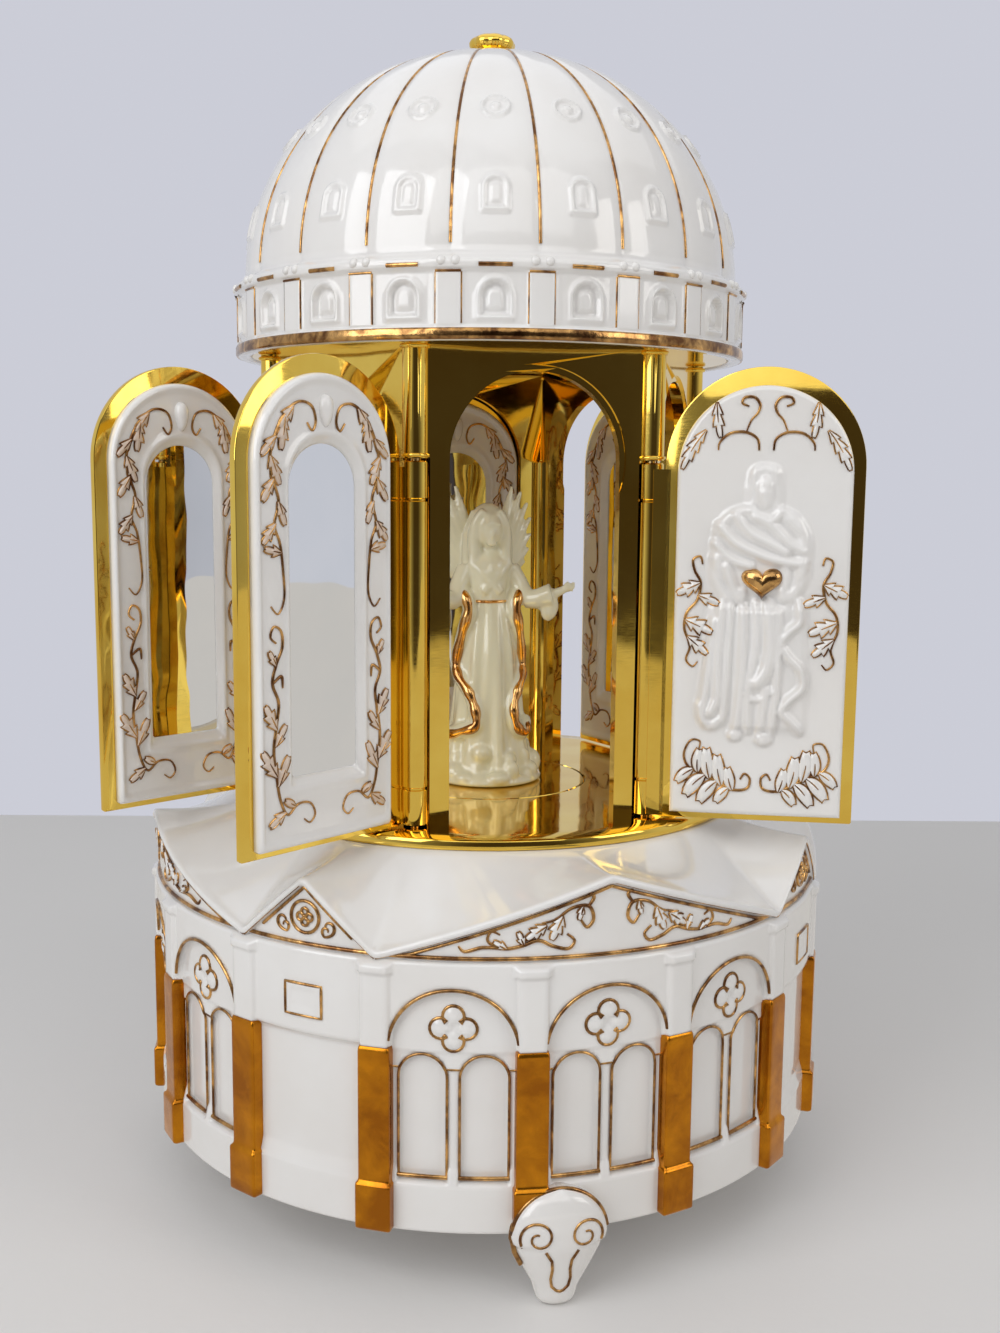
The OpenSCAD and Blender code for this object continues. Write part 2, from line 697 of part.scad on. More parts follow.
module output_spindle() color("silver")
    translate([0, 0, lid_z + lid_t]) cylinder(r = spindle_r, h = turntable_z + 0.5 - lid_z - lid_t, $fn = 48);

module winding_arbor() color("silver") {
    translate([0, 0, key_z]) cylinder(r = arbor_r, h = barrel_z + spring_barrel_h - 0.6 - key_z, $fn = 48);
    translate([0, 0, barrel_z + 1.5]) cylinder(r = 2 * arbor_r, h = spring_barrel_h - 2.2);
}

module winding_key() color("gold") {
    lobe_r = 4.5;
    lobe_at = key_w / 2 - lobe_r;
    lobe_z = key_z + 3;
    wing_t = 1.6;
    difference() {
        union() {
            translate([0, 0, key_z]) cylinder(r = arbor_r + 1.2, h = base_clear - 1 - key_z);
            for (s = [-1, 1])
                translate([s * lobe_at, wing_t / 2, lobe_z]) rotate([90, 0, 0]) cylinder(r = lobe_r, h = wing_t);
            translate([-lobe_at, -wing_t / 2, key_z + 0.5]) cube([2 * lobe_at, wing_t, 5]);
        }
        translate([0, 0, key_z]) cylinder(r = arbor_r, h = base_clear, $fn = 48);
        for (s = [-1, 1])
            translate([s * lobe_at, 2, lobe_z]) rotate([90, 0, 0]) cylinder(r = 2, h = 4, $fn = 48);
    }
}

// Outline of a spur wheel with straight-sided teeth; one tooth's middle lies at the start angle
function tooth_point(r, half_w, a) = let (b = a + asin(half_w / r)) [r * cos(b), r * sin(b)];
function spur_outline(pitch_r, teeth, tooth_w, start) = [
    for (i = [0:teeth - 1], p = [[-0.65, -1], [addendum, -0.8], [addendum, 0.8], [-0.65, 1]])
        tooth_point(pitch_r + p[0], p[1] * tooth_w / 2, start + i * 360 / teeth)];

module spur(x, w, y, pitch_r, teeth, tooth_w, start) {
    translate([x, y, shaft_z]) rotate([0, 90, 0])
        linear_extrude(w) polygon(spur_outline(pitch_r, teeth, tooth_w, start));
}

module pinned_cylinder() color("goldenrod") {
    difference() {
        union() {
            shaft_x(cylinder_x, cylinder_x + cylinder_l, 0, drum_pin_r);
            for (i = [0:comb_notes - 1], j = [0:1])
                translate([cylinder_x + (i + 0.5) * cylinder_l / comb_notes, 0, shaft_z])
                    rotate([i * 67 + j * 151 + 20, 0, 0])
                        cylinder(r = 0.25, h = drum_pin_r + 0.6, $fn = 16);
        }
        shaft_x(cylinder_x - over, cylinder_x + cylinder_l + over, 0, shaft_r);
    }
}

module cylinder_train() color("silver") {
    pinion_x = crown_r - pinion_w / 2;
    shaft_x(pinion_x, shaft_end, 0, shaft_r);
    spur(pinion_x, pinion_w, 0, pinion_r, pinion_teeth, 0.6, 0);
    spur(wheel_x, wheel_t, 0, wheel_r, wheel_teeth, 0.55, 90);
}

module governor() color("silver") {
    shaft_x(inner_cock_x - 0.4, shaft_end, governor_y, shaft_r / 2);
    spur(wheel_x - 0.2, wheel_t + 0.4, governor_y, governor_r, governor_teeth, 0.5, 90 + 180 / governor_teeth);
    for (a = [0, 180])
        translate([cylinder_x + 4, governor_y, shaft_z]) rotate([a, 0, 0])
            translate([0, -0.3, 0]) cube([14, 0.6, fan_r]);
}

// ---- Figure ----

// A robed figure with open arms and raised wings on a rocky foot
module angel() color("ivory") translate([0, 0, deck_z]) {
    k = figure_h / 63;
    rotate_extrude() polygon([for (p = [
        [0, 0], [13.6, 0], [13.8, 2], [12.6, 6], [9.6, 14], [8.4, 22], [7.2, 32], [5.6, 40], [4.9, 42],
        [5.6, 45], [6, 49], [4.4, 51.5], [2.2, 53], [2, 55], [0, 55]]) p * k]);
    translate([0, 0, 57.6 * k]) sphere(r = 4.3 * k, $fn = 40);
    translate([0, 1.2, 58.2] * k) sphere(r = 4.8 * k, $fn = 40);
    for (s = [-1, 1]) {
        hull() {
            translate([s * 4.6, 0, 49] * k) sphere(r = 2.2 * k, $fn = 24);
            translate([s * 8.5, -3, 42.4] * k) sphere(r = 2.2 * k, $fn = 24);
        }
        hull() {
            translate([s * 8.5, -3, 42.4] * k) sphere(r = 2 * k, $fn = 24);
            translate([s * 14.5, -5.5, 42.4] * k) sphere(r = 2.9 * k, $fn = 24);
        }
        translate([s * 3, 4.4, 0] * k) rotate([0, 0, s * 22]) rotate([90, 0, 0]) linear_extrude(1.6 * k)
            polygon([for (p = [[0, 40], [3.6, 42], [8, 50], [11, 60], [11.4, 66.4], [8, 63.5], [3, 57],
                               [0, 52]]) [s * p[0], p[1]] * k]);
    }
}

base_casting();
foot_front();
foot_right();
foot_left();
bottom_plate();
bottom_screws();
deck();
spindle_bush();
cage();
hinge_pins();
ceiling_plate();
dome();
finial();
tie_rod();
bedplate();
movement_cocks();
comb();
comb_screws();
spring_barrel();
barrel_lid();
mainspring();
output_spindle();
turntable();
angel();
winding_key();
winding_arbor();
pinned_cylinder();
cylinder_train();
governor();
for (i = [0:5]) door_panel(i);
for (i = [0:5]) door_plaque(i);
for (i = [0:5]) door_lining(i);
for (i = [0:5]) door_mirror(i);
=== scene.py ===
import math

import bmesh
import bpy
import numpy as np
from mathutils import Matrix, Vector


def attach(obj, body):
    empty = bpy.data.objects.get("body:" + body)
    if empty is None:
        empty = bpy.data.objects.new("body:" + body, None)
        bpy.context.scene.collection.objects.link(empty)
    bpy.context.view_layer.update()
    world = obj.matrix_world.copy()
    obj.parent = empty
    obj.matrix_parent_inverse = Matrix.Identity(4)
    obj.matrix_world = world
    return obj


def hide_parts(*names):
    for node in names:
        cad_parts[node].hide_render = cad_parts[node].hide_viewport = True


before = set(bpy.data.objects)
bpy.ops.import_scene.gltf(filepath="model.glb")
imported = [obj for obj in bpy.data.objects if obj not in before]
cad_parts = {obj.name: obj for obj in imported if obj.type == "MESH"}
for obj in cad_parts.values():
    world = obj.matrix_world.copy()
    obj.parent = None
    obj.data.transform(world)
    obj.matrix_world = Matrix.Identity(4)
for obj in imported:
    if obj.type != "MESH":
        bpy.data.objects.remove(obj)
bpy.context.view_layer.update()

# Carousel music box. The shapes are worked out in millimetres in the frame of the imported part:
# Z is up, the axis stands at the origin, and angles round it count from -Y towards +X.
MM = 0.001

# ---- Driving sizes, as the frame has them ----

BASE_R = 74.0
BASE_CLEAR = 14.4
WALL_TOP = 67.5
WALL_IN_R = 70.0
BASE_TURN = 5.3
BAYS = 16
BAY_DEG = 360 / BAYS
BAY_REACH = math.pi * BASE_R / BAYS
ARCH_R = 12.0
ARCH_Z = 50.4
LANCET_HALF = 4.6
LANCET_AT = 5.8
LANCET_SILL = 24.4
LANCET_SPRING = 44.8
PLATE_FOOT = 46.5
PLATE_HALF = 11.4
ARCH_FIELD_R = 74.15
LANCET_BACK_R = 72.95
PIER_R = 76.1
PIER_TOP = 66.6
FLOWER_Z = ARCH_Z + 4.3
PETAL_AT = 2.4
PETAL_R = 2.0
BADGE_HALF = 3.95
BADGE_TALL = 3.1
BADGE_Z = 57.5
TYMPANUM_R = 74.5
PILASTER_HALF = 3.1
EAVES_Z = 68.8
CORNICE_R = 75.8
WIDE_PEAK = 83.4
SMALL_PEAK = 81.5
UNDER_DECK = 83.5
DECK_R = 57.2
DECK_Z = 85.7
TURNTABLE_R = 22.6

POST_R = 48.2
SPRING_Z = 158.5
BARREL_R = 2.5
PIN_R = 0.9
BARREL_FOOT = 86.1
BARREL_TOP = 158.2
PANEL_FACE = -1.0
PANEL_BACK = -2.6
PANEL_MID = 22.5
PANEL_HALF = 19.5
DOOR_SPRING = 157.6
PLAQUE_HALF = 17.1
PLAQUE_FOOT = 87.5
PLAQUE_SPRING = 156.3
PLAQUE_T = 1.8
LINING_MID = 23.2
LINING_HALF = 16.0
LINING_T = 2.2
WINDOW_HALF = 7.8
WINDOW_SILL = 100.5
WINDOW_SPRING = 153.2
DOOR_OPEN = {"front": 146, "front_right": 81.5, "back_right": 9.5,
             "back": 0, "back_left": 0, "front_left": 90}

DRUM_Z = 180.3
DRUM_R = 55.7
DOME_Z = 196.0
DOME_R = 53.6
DOME_RISE = 49.3
DOME_T = 3.0
DOME_TURN = 6.2
RIBS = 20
CROWN_Z = DOME_Z + DOME_RISE
ROD_R = 1.5
WINDOW_ARC = 13.0
OCULUS_ARC = 35.0

FEET = {"front": -2.0, "right": 118.0, "left": 238.0}
FOOT_HALF = 9.3
FOOT_TOP = 24.2

# ---- Shader wiring ----


class Wire:
    """A socket in a material. Arithmetic on it adds Math nodes."""

    def __init__(self, tree, socket=None):
        self.tree, self.socket = tree, socket

    def node(self, kind, settings=None, sockets=None, out=0):
        """Adds a node: its settings first, then the values or wires of its sockets."""
        made = self.tree.nodes.new("ShaderNode" + kind)
        for name, value in (settings or {}).items():
            if name == "stops":
                stops = made.color_ramp.elements
                while len(stops) < len(value):
                    stops.new(1.0)
                for stop, (place, tone) in zip(stops, value):
                    stop.position, stop.color = place, (*tone, 1.0)
            else:
                setattr(made, name, value)
        for name, value in (sockets or {}).items():
            if isinstance(value, Wire):
                self.tree.links.new(value.socket, made.inputs[name])
            elif isinstance(value, tuple) and len(value) == 3 and made.inputs[name].type == "RGBA":
                made.inputs[name].default_value = (*value, 1.0)
            else:
                made.inputs[name].default_value = value
        return Wire(self.tree, made.outputs[out])

    def math(self, operation, *values):
        return self.node("Math", {"operation": operation}, dict(enumerate(values)))

    def __add__(self, other):
        return self.math("ADD", self, other)

    def __radd__(self, other):
        return self.math("ADD", other, self)

    def __sub__(self, other):
        return self.math("SUBTRACT", self, other)

    def __rsub__(self, other):
        return self.math("SUBTRACT", other, self)

    def __mul__(self, other):
        return self.math("MULTIPLY", self, other)

    def __rmul__(self, other):
        return self.math("MULTIPLY", other, self)

    def __truediv__(self, other):
        return self.math("DIVIDE", self, other)

    def __pow__(self, other):
        return self.math("POWER", self, other)

    def noise(self, place, scale, detail=3.0, roughness=0.55, distortion=0.0):
        return self.node("TexNoise", None, {"Vector": place, "Scale": scale, "Detail": detail,
                                            "Roughness": roughness, "Distortion": distortion})

    def between(self, share, low, high):
        """A colour between two colours."""
        return self.node("Mix", {"data_type": "RGBA"}, {0: share, 6: low, 7: high}, out=2)

    def spread(self, value, low, high, to_low=0.0, to_high=1.0):
        """Maps a range of values to another, held at its ends."""
        return self.node("MapRange", None, {0: value, 1: low, 2: high, 3: to_low, 4: to_high})


FINISHES = {}


def finish(name, constants, build):
    """Makes a material: constants go straight on the shader, build wires what varies."""
    material = bpy.data.materials.new(name)
    material.use_nodes = True
    tree = material.node_tree
    shader = tree.nodes["Principled BSDF"]
    for socket, value in constants.items():
        if isinstance(value, tuple):
            value = (*value, 1.0)
        shader.inputs[socket].default_value = value
    wire = Wire(tree)
    place = wire.node("TexCoord", out=3)
    for socket, value in build(wire, place).items():
        tree.links.new(value.socket, shader.inputs[socket])
    FINISHES[name] = material
    return material


def bumped(wire, height, distance, strength=1.0):
    return wire.node("Bump", None, {"Strength": strength, "Distance": distance, "Height": height})


def glazed(tone, shade, wave):
    """Glazed porcelain: a tone that pools a little darker, and a glaze that is not quite even."""
    def build(wire, place):
        pool = wire.spread(wire.noise(place, 38.0, 4.0), 0.35, 0.68)
        fine = wire.noise(place, 900.0, 2.0)
        speck = wire.spread(wire.noise(place, 2600.0, 1.0), 0.78, 0.86)
        body = wire.between(pool, tone, shade)
        return {"Base Color": wire.between(speck * 0.12, body, (0.55, 0.47, 0.36)),
                "Roughness": wire.spread(fine, 0.3, 0.7, 0.07, 0.16),
                "Normal": bumped(wire, wire.noise(place, 150.0, 2.0) * wave, 0.0006)}
    return build


finish("porcelain", {"IOR": 1.52, "Coat Weight": 0.6, "Coat Roughness": 0.03},
       glazed((0.83, 0.815, 0.79), (0.79, 0.765, 0.73), 0.10))
finish("figure_porcelain", {"IOR": 1.52, "Coat Weight": 0.7, "Coat Roughness": 0.03},
       glazed((0.90, 0.88, 0.68), (0.85, 0.81, 0.58), 0.10))
finish("leaf_wash", {"IOR": 1.5, "Coat Weight": 0.5, "Coat Roughness": 0.05},
       glazed((0.72, 0.60, 0.50), (0.62, 0.47, 0.36), 0.14))


def lustre(bright, dark, low_gloss, high_gloss, size):
    """Fired gold lustre: brush-laid, so its tone and its gloss run from thick to thin."""
    def build(wire, place):
        stroke = wire.noise(place, size, 5.0, 0.6, 0.4)
        worn = wire.spread(stroke, 0.40, 0.66)
        fine = wire.noise(place, size * 9.0, 3.0)
        return {"Base Color": wire.between(worn, dark, bright),
                "Roughness": wire.spread(fine, 0.3, 0.7, low_gloss, high_gloss),
                "Normal": bumped(wire, stroke * 0.5 + fine * 0.06, 0.0002)}
    return build


finish("line_gold", {"Metallic": 1.0}, lustre((0.80, 0.47, 0.17), (0.17, 0.075, 0.028), 0.10, 0.22, 240.0))
finish("pilaster_gold", {"Metallic": 0.88, "Coat Weight": 0.08, "Coat Roughness": 0.08},
       lustre((0.66, 0.25, 0.006), (0.38, 0.12, 0.003), 0.16, 0.26, 90.0))
finish("figure_bronze", {"Metallic": 1.0}, lustre((0.86, 0.52, 0.20), (0.50, 0.24, 0.08), 0.10, 0.22, 200.0))


def plated(bright, deep, gloss):
    """Mirror-bright plating with faint cloudiness and fine wiping marks."""
    def build(wire, place):
        cloud = wire.spread(wire.noise(place, 60.0, 4.0), 0.35, 0.7)
        drawn_out = wire.node("Mapping", None, {"Vector": place, "Scale": (1.0, 1.0, 14.0)})
        wiped = wire.noise(drawn_out, 420.0, 2.0)
        return {"Base Color": wire.between(cloud, bright, deep),
                "Roughness": wire.spread(wiped, 0.35, 0.75, gloss, gloss * 2.4),
                "Normal": bumped(wire, wire.noise(place, 70.0, 1.0) * 0.3, 0.0004)}
    return build


finish("gilt", {"Metallic": 1.0}, plated((0.93, 0.66, 0.13), (0.84, 0.54, 0.08), 0.045))
finish("mirror", {"Metallic": 1.0}, plated((0.90, 0.91, 0.92), (0.86, 0.88, 0.90), 0.012))
finish("brass", {"Metallic": 1.0}, plated((0.80, 0.56, 0.24), (0.66, 0.43, 0.16), 0.16))
finish("steel", {"Metallic": 1.0}, plated((0.62, 0.62, 0.63), (0.48, 0.48, 0.50), 0.20))


def plain_surface(tone, other):
    def build(wire, place):
        return {"Base Color": wire.between(wire.noise(place, 5.0, 4.0), tone, other),
                "Normal": bumped(wire, wire.noise(place, 300.0, 2.0), 0.0002, 0.3)}
    return build


def floor_finish(name, tone, other, shown, roughness):
    """A pale table top that holds shadows for the eye and shows one plain tone to gloss."""
    material = finish(name, {"Roughness": roughness}, plain_surface(tone, other))
    tree = material.node_tree
    wire = Wire(tree)
    glossy_ray = wire.node("LightPath", out=3)
    glow = wire.node("Emission", None, {"Color": shown, "Strength": 1.0})
    surface = Wire(tree, tree.nodes["Principled BSDF"].outputs["BSDF"])
    mixed = wire.node("MixShader", None, {0: glossy_ray, 1: surface, 2: glow})
    tree.links.new(mixed.socket, tree.nodes["Material Output"].inputs["Surface"])


floor_finish("floor_card", (0.82, 0.805, 0.785), (0.79, 0.775, 0.755), (0.60, 0.57, 0.53), 0.55)

# ---- Mesh tools ----


def round_axis(r, deg, z):
    """Points at a radius, an angle from -Y towards +X, and a height."""
    a = np.radians(deg)
    return np.stack(np.broadcast_arrays(r * np.sin(a), -r * np.cos(a), z), -1)


def arc(x, z, r, turn):
    """Points of a flat arc about a point, at turns in radians."""
    return np.stack([x + r * np.cos(turn), z + r * np.sin(turn)], -1)


def around(steps):
    """Even turns in radians once round."""
    return np.radians(np.linspace(0, 360, steps, endpoint=False))


def ramp(d, width):
    """A soft step from 0 to 1 where d crosses 0."""
    t = np.clip(np.asarray(d, float) / width + 0.5, 0, 1)
    return t * t * (3 - 2 * t)


def stations(low, high, step, edges=(), near=0.35):
    """Even stations with a close pair beside every edge."""
    even = np.linspace(low, high, round((high - low) / step) + 1)
    close = [e + s for e in edges for s in (-near, 0, near) if low < e + s < high]
    kept = [low]
    for place in np.unique(np.concatenate([even, close])):
        if place - kept[-1] > 0.4 * near:
            kept.append(place)
    kept[-1] = high
    return np.array(kept)


def mesh_of(name, points, faces, smooth=True):
    """An object whose mesh holds millimetre points; faces are turned outwards."""
    mesh = bpy.data.meshes.new(name)
    mesh.from_pydata((np.asarray(points, float).reshape(-1, 3) * MM).tolist(), [], faces)
    shape = bmesh.new()
    shape.from_mesh(mesh)
    if shape.calc_volume(signed=True) < 0:
        bmesh.ops.reverse_faces(shape, faces=shape.faces[:])
    shape.to_mesh(mesh)
    shape.free()
    mesh.polygons.foreach_set("use_smooth", [smooth] * len(mesh.polygons))
    made = bpy.data.objects.new(name, mesh)
    bpy.context.scene.collection.objects.link(made)
    return made


def ring_faces(rows, columns, first=0, wrap_rows=False):
    """Quads of a grid whose columns close round; its rows may close too."""
    j = np.arange(columns)
    k = (j + 1) % columns
    faces = []
    for i in range(rows if wrap_rows else rows - 1):
        a, b = first + i * columns, first + ((i + 1) % rows) * columns
        faces += np.stack([a + j, a + k, b + k, b + j], -1).tolist()
    return faces


def loft(rings):
    """Points and faces of a solid through closed rings, with flat ends."""
    rings = np.asarray(rings, float)
    rows, columns = rings.shape[:2]
    faces = ring_faces(rows, columns)
    faces.append(list(range(columns))[::-1])
    faces.append([(rows - 1) * columns + j for j in range(columns)])
    return rings.reshape(-1, 3), faces


def shell(rings):
    """Points and faces of a closed ring-shaped solid: rows and columns both close."""
    rings = np.asarray(rings, float)
    rows, columns = rings.shape[:2]
    return rings.reshape(-1, 3), ring_faces(rows, columns, wrap_rows=True)


def lathe(profile, steps=192):
    """Rings of a profile of (radius, height) pairs round the axis."""
    angles = np.arange(steps) * 360 / steps
    return np.array([round_axis(r, angles, z) for r, z in profile])


def together(parts):
    """Joins several (points, faces) pairs into one."""
    points, faces, first = [], [], 0
    for some, theirs in parts:
        some = np.asarray(some, float).reshape(-1, 3)
        points.append(some)
        faces += [[first + v for v in f] for f in theirs]
        first += len(some)
    return np.concatenate(points), faces


def creased(made, degrees=32.0):
    """Sharp edges stay sharp to the light where faces meet at more than this."""
    made.data.set_sharp_from_angle(angle=math.radians(degrees))
    return made


def finished_mesh(made):
    """Replaces an object's mesh by what its modifiers make of it."""
    mesh = bpy.data.meshes.new_from_object(made.evaluated_get(bpy.context.evaluated_depsgraph_get()))
    made.modifiers.clear()
    made.data = mesh


def ready(made, material, body, slot, nodes=()):
    """Gives a finished piece its material and its body, and hides the imported nodes it stands for; slot is
    not used.
    """
    made.data.materials.clear()
    made.data.materials.append(FINISHES[material])
    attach(made, body)
    if nodes:
        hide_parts(*nodes)
    return made


# ---- Geometry Nodes trees ----


class Tree:
    """A Geometry Nodes tree with named inputs; links are made as nodes are added."""

    def __init__(self, name, inputs):
        self.tree = bpy.data.node_groups.new(name, "GeometryNodeTree")
        self.keys = {}
        for label, kind in [("Geometry", "NodeSocketGeometry"), *inputs]:
            socket = self.tree.interface.new_socket(label, in_out="INPUT", socket_type=kind)
            self.keys[label] = socket.identifier
        self.tree.interface.new_socket("Geometry", in_out="OUTPUT", socket_type="NodeSocketGeometry")
        self.start = self.tree.nodes.new("NodeGroupInput")
        self.end = self.tree.nodes.new("NodeGroupOutput")

    def given(self, label):
        return self.start.outputs[label]

    def add(self, kind, sockets=None, settings=None, out=0):
        made = self.tree.nodes.new(kind)
        for name, value in (settings or {}).items():
            setattr(made, name, value)
        for name, value in (sockets or {}).items():
            if isinstance(value, bpy.types.NodeSocket):
                self.tree.links.new(value, made.inputs[name])
            else:
                made.inputs[name].default_value = value
        return made.outputs[out]

    def close(self, geometry):
        real = self.add("GeometryNodeRealizeInstances", {"Geometry": geometry})
        coated = self.add("GeometryNodeSetMaterial", {"Geometry": real, "Material": self.given("Material")})
        self.tree.links.new(coated, self.end.inputs[0])

    def run(self, made, values):
        """Runs the tree on an object and leaves it with the plain mesh that comes out."""
        modifier = made.modifiers.new(self.tree.name, "NODES")
        modifier.node_group = self.tree
        for label, value in values.items():
            modifier[self.keys[label]] = value
        finished_mesh(made)
        made.data.polygons.foreach_set("use_smooth", [True] * len(made.data.polygons))
        return made


def drawn_line_tree():
    """Sweeps a round section along every chain of edges, as wide as each point asks."""
    tree = Tree("drawn_line", [("Section sides", "NodeSocketInt"), ("Material", "NodeSocketMaterial")])
    path = tree.add("GeometryNodeMeshToCurve", {"Mesh": tree.given("Geometry")})
    width = tree.add("GeometryNodeInputNamedAttribute", {"Name": "half_width"}, {"data_type": "FLOAT"})
    section = tree.add("GeometryNodeCurvePrimitiveCircle",
                       {"Resolution": tree.given("Section sides"), "Radius": 1.0})
    tree.close(tree.add("GeometryNodeCurveToMesh", {"Curve": path, "Profile Curve": section,
                                                    "Scale": width, "Fill Caps": True}))
    return tree


def ring_of_copies_tree():
    """Sets copies of a piece round the axis at even angles."""
    tree = Tree("ring_of_copies", [("Count", "NodeSocketInt"), ("First turn", "NodeSocketFloat"),
                                   ("Step", "NodeSocketFloat"), ("Material", "NodeSocketMaterial")])
    index = tree.add("GeometryNodeInputIndex")
    turn = tree.add("ShaderNodeMath", {0: index, 1: tree.given("Step"), 2: tree.given("First turn")},
                    {"operation": "MULTIPLY_ADD"})
    spots = tree.add("GeometryNodePoints", {"Count": tree.given("Count"), "Position": (0.0, 0.0, 0.0)})
    facing = tree.add("ShaderNodeCombineXYZ", {"Z": turn})
    tree.close(tree.add("GeometryNodeInstanceOnPoints", {"Points": spots, "Rotation": facing,
                                                         "Instance": tree.given("Geometry")}))
    return tree


DRAWN_LINE = drawn_line_tree()
RING_OF_COPIES = ring_of_copies_tree()


def drawn(name, lines, material, sides=8):
    """One mesh of swept lines. A line is (points in mm, half width or widths, closed)."""
    points, edges, widths = [], [], []
    for path, width, closed in lines:
        path = np.asarray(path, float)
        first, count = len(points), len(path)
        points += (path * MM).tolist()
        widths += (np.broadcast_to(width, count) * MM).tolist()
        edges += [(first + i, first + i + 1) for i in range(count - 1)]
        if closed:
            edges.append((first + count - 1, first))
    mesh = bpy.data.meshes.new(name)
    mesh.from_pydata(points, edges, [])
    mesh.attributes.new("half_width", "FLOAT", "POINT").data.foreach_set("value", widths)
    made = bpy.data.objects.new(name, mesh)
    bpy.context.scene.collection.objects.link(made)
    return DRAWN_LINE.run(made, {"Section sides": sides, "Material": FINISHES[material]})


def ring_of(made, count, first_deg, step_deg, material):
    """Repeats a piece round the axis."""
    return RING_OF_COPIES.run(made, {"Count": count, "First turn": math.radians(first_deg),
                                     "Step": math.radians(step_deg), "Material": FINISHES[material]})


# ---- Ornament: scrolls, leaves and blisters in a flat (across, up) plane ----


def scroll(start, heading, length, curl, power=1.8, steps=26):
    """A stem that sets off at a heading in degrees and curls up tighter towards its end."""
    t = np.linspace(0, 1, steps)
    turn = np.radians(heading + curl * t ** power)
    step = length / (steps - 1)
    path = np.cumsum(np.stack([np.cos(turn), np.sin(turn)], -1) * step, axis=0)
    return np.array(start) + path - path[0]


def taper(path, wide, thin=0.45):
    """A pen's widths along a stem: thin, wide, thin."""
    t = np.linspace(0, 1, len(path))
    return wide * (thin + (1 - thin) * np.sin(math.pi * np.clip(t * 0.85 + 0.12, 0, 1)))


def leaf_spine(at, heading, length, bend, lobes):
    """Points along a leaf's middle and the direction across it at each."""
    t = np.linspace(0, 1, 8 * lobes + 1)
    turn = np.radians(heading + bend * t)
    along = np.stack([np.cos(turn), np.sin(turn)], -1)
    spine = np.array(at) + (np.cumsum(along, axis=0) - along[0]) * length / (len(t) - 1)
    return t, spine, along, np.stack([-along[:, 1], along[:, 0]], -1)


def leaf_outline(at, heading, length, lobes=3, wide=0.30, bend=0.0, share=1.0):
    """A ragged leaf that grows from a point along a heading; its lobes point to its tip."""
    t, spine, along, across = leaf_spine(at, heading, length, bend, lobes)
    tooth = (t * lobes) % 1
    tooth[-1] = 1
    swell = np.sin(math.pi * np.clip(t * 0.95 + 0.05, 0, 1)) ** 0.7
    jagged = 0.42 + 0.58 * tooth ** 1.4 if lobes > 1 else 1.0
    half = (length * wide * share * swell * jagged)[:, None]
    reach = (length / lobes * 0.32 * share * tooth ** 3 * (t < 1))[:, None]
    left, right = spine + across * half + along * reach, spine - across * half + along * reach
    return np.concatenate([right, left[::-1]])


def leaf_body(leaf, height, place, mirror, sink=0.25):
    """A low domed body under a leaf's outline."""
    rings = [place(leaf_outline(*leaf) * mirror, -sink)]
    for share, lift in ((1.0, 0.02), (0.78, 0.6), (0.4, 1.0)):
        rings.append(place(leaf_outline(*leaf, share=share) * mirror, lift * height))
    return loft(rings)


def blister(outline, height, place, sink=0.25):
    """A low domed body over an outline; place puts (across, up, lift) into space."""
    middle = outline.mean(0)
    rings = [place(outline, -sink)]
    for share, lift in ((1.0, 0.02), (0.86, 0.55), (0.62, 0.85), (0.3, 1.0)):
        rings.append(place(middle + (outline - middle) * share, lift * height))
    return loft(rings)


def flowing(points, per_span=9):
    """A smooth path through a few points."""
    p = np.array([points[0], *points, points[-1]], float)
    t = np.linspace(0, 1, per_span, endpoint=False)[:, None]
    spans = []
    for a, b, c, d in zip(p[:-3], p[1:-2], p[2:-1], p[3:]):
        spans.append(0.5 * (2 * b + (c - a) * t + (2 * a - 5 * b + 4 * c - d) * t ** 2
                            + (3 * b - a - 3 * c + d) * t ** 3))
    return np.concatenate([*spans, p[-1:]])


def add_ornament(stems, leaves, place, wide, lines, bodies, domed):
    """Adds flowing stems and ragged leaves, mirrored about the middle, to lines and bodies."""
    for side in (-1, 1):
        mirror = np.array([side, 1])
        for points in stems:
            path = flowing(points) * mirror
            lines.append((place(path, 0.1), taper(path, wide), False))
        for leaf in leaves:
            lines.append((place(leaf_outline(*leaf) * mirror, 0.1), wide * 0.68, True))
            bend = leaf[5] if len(leaf) > 5 else 0.0
            vein = leaf_spine(*leaf[:3], bend, 3)[1][:15] * mirror
            lines.append((place(vein, domed), taper(vein, wide * 0.5), False))
            bodies.append(leaf_body(leaf, domed, place, mirror))


# ---- Base wall ----


def has_arcade(k):
    """Every fourth bay is plain and carries a badge instead of windows."""
    return k % 4 != 2


def quatrefoil_gap(x, z):
    """Distance outside the four-lobed flower under the crown of a big arch."""
    gaps = [np.hypot(x - PETAL_AT * s, z - FLOWER_Z - PETAL_AT * c) - PETAL_R
            for s, c in ((0, 1), (1, 0), (0, -1), (-1, 0))]
    return np.minimum.reduce(gaps)


def lancet_gap(x, z):
    """Distance outside the pair of narrow pointed windows."""
    side = np.abs(np.abs(x) - LANCET_AT)
    low = np.maximum(side - LANCET_HALF, LANCET_SILL - z)
    return np.where(z < LANCET_SPRING, low, np.hypot(side, z - LANCET_SPRING) - LANCET_HALF)


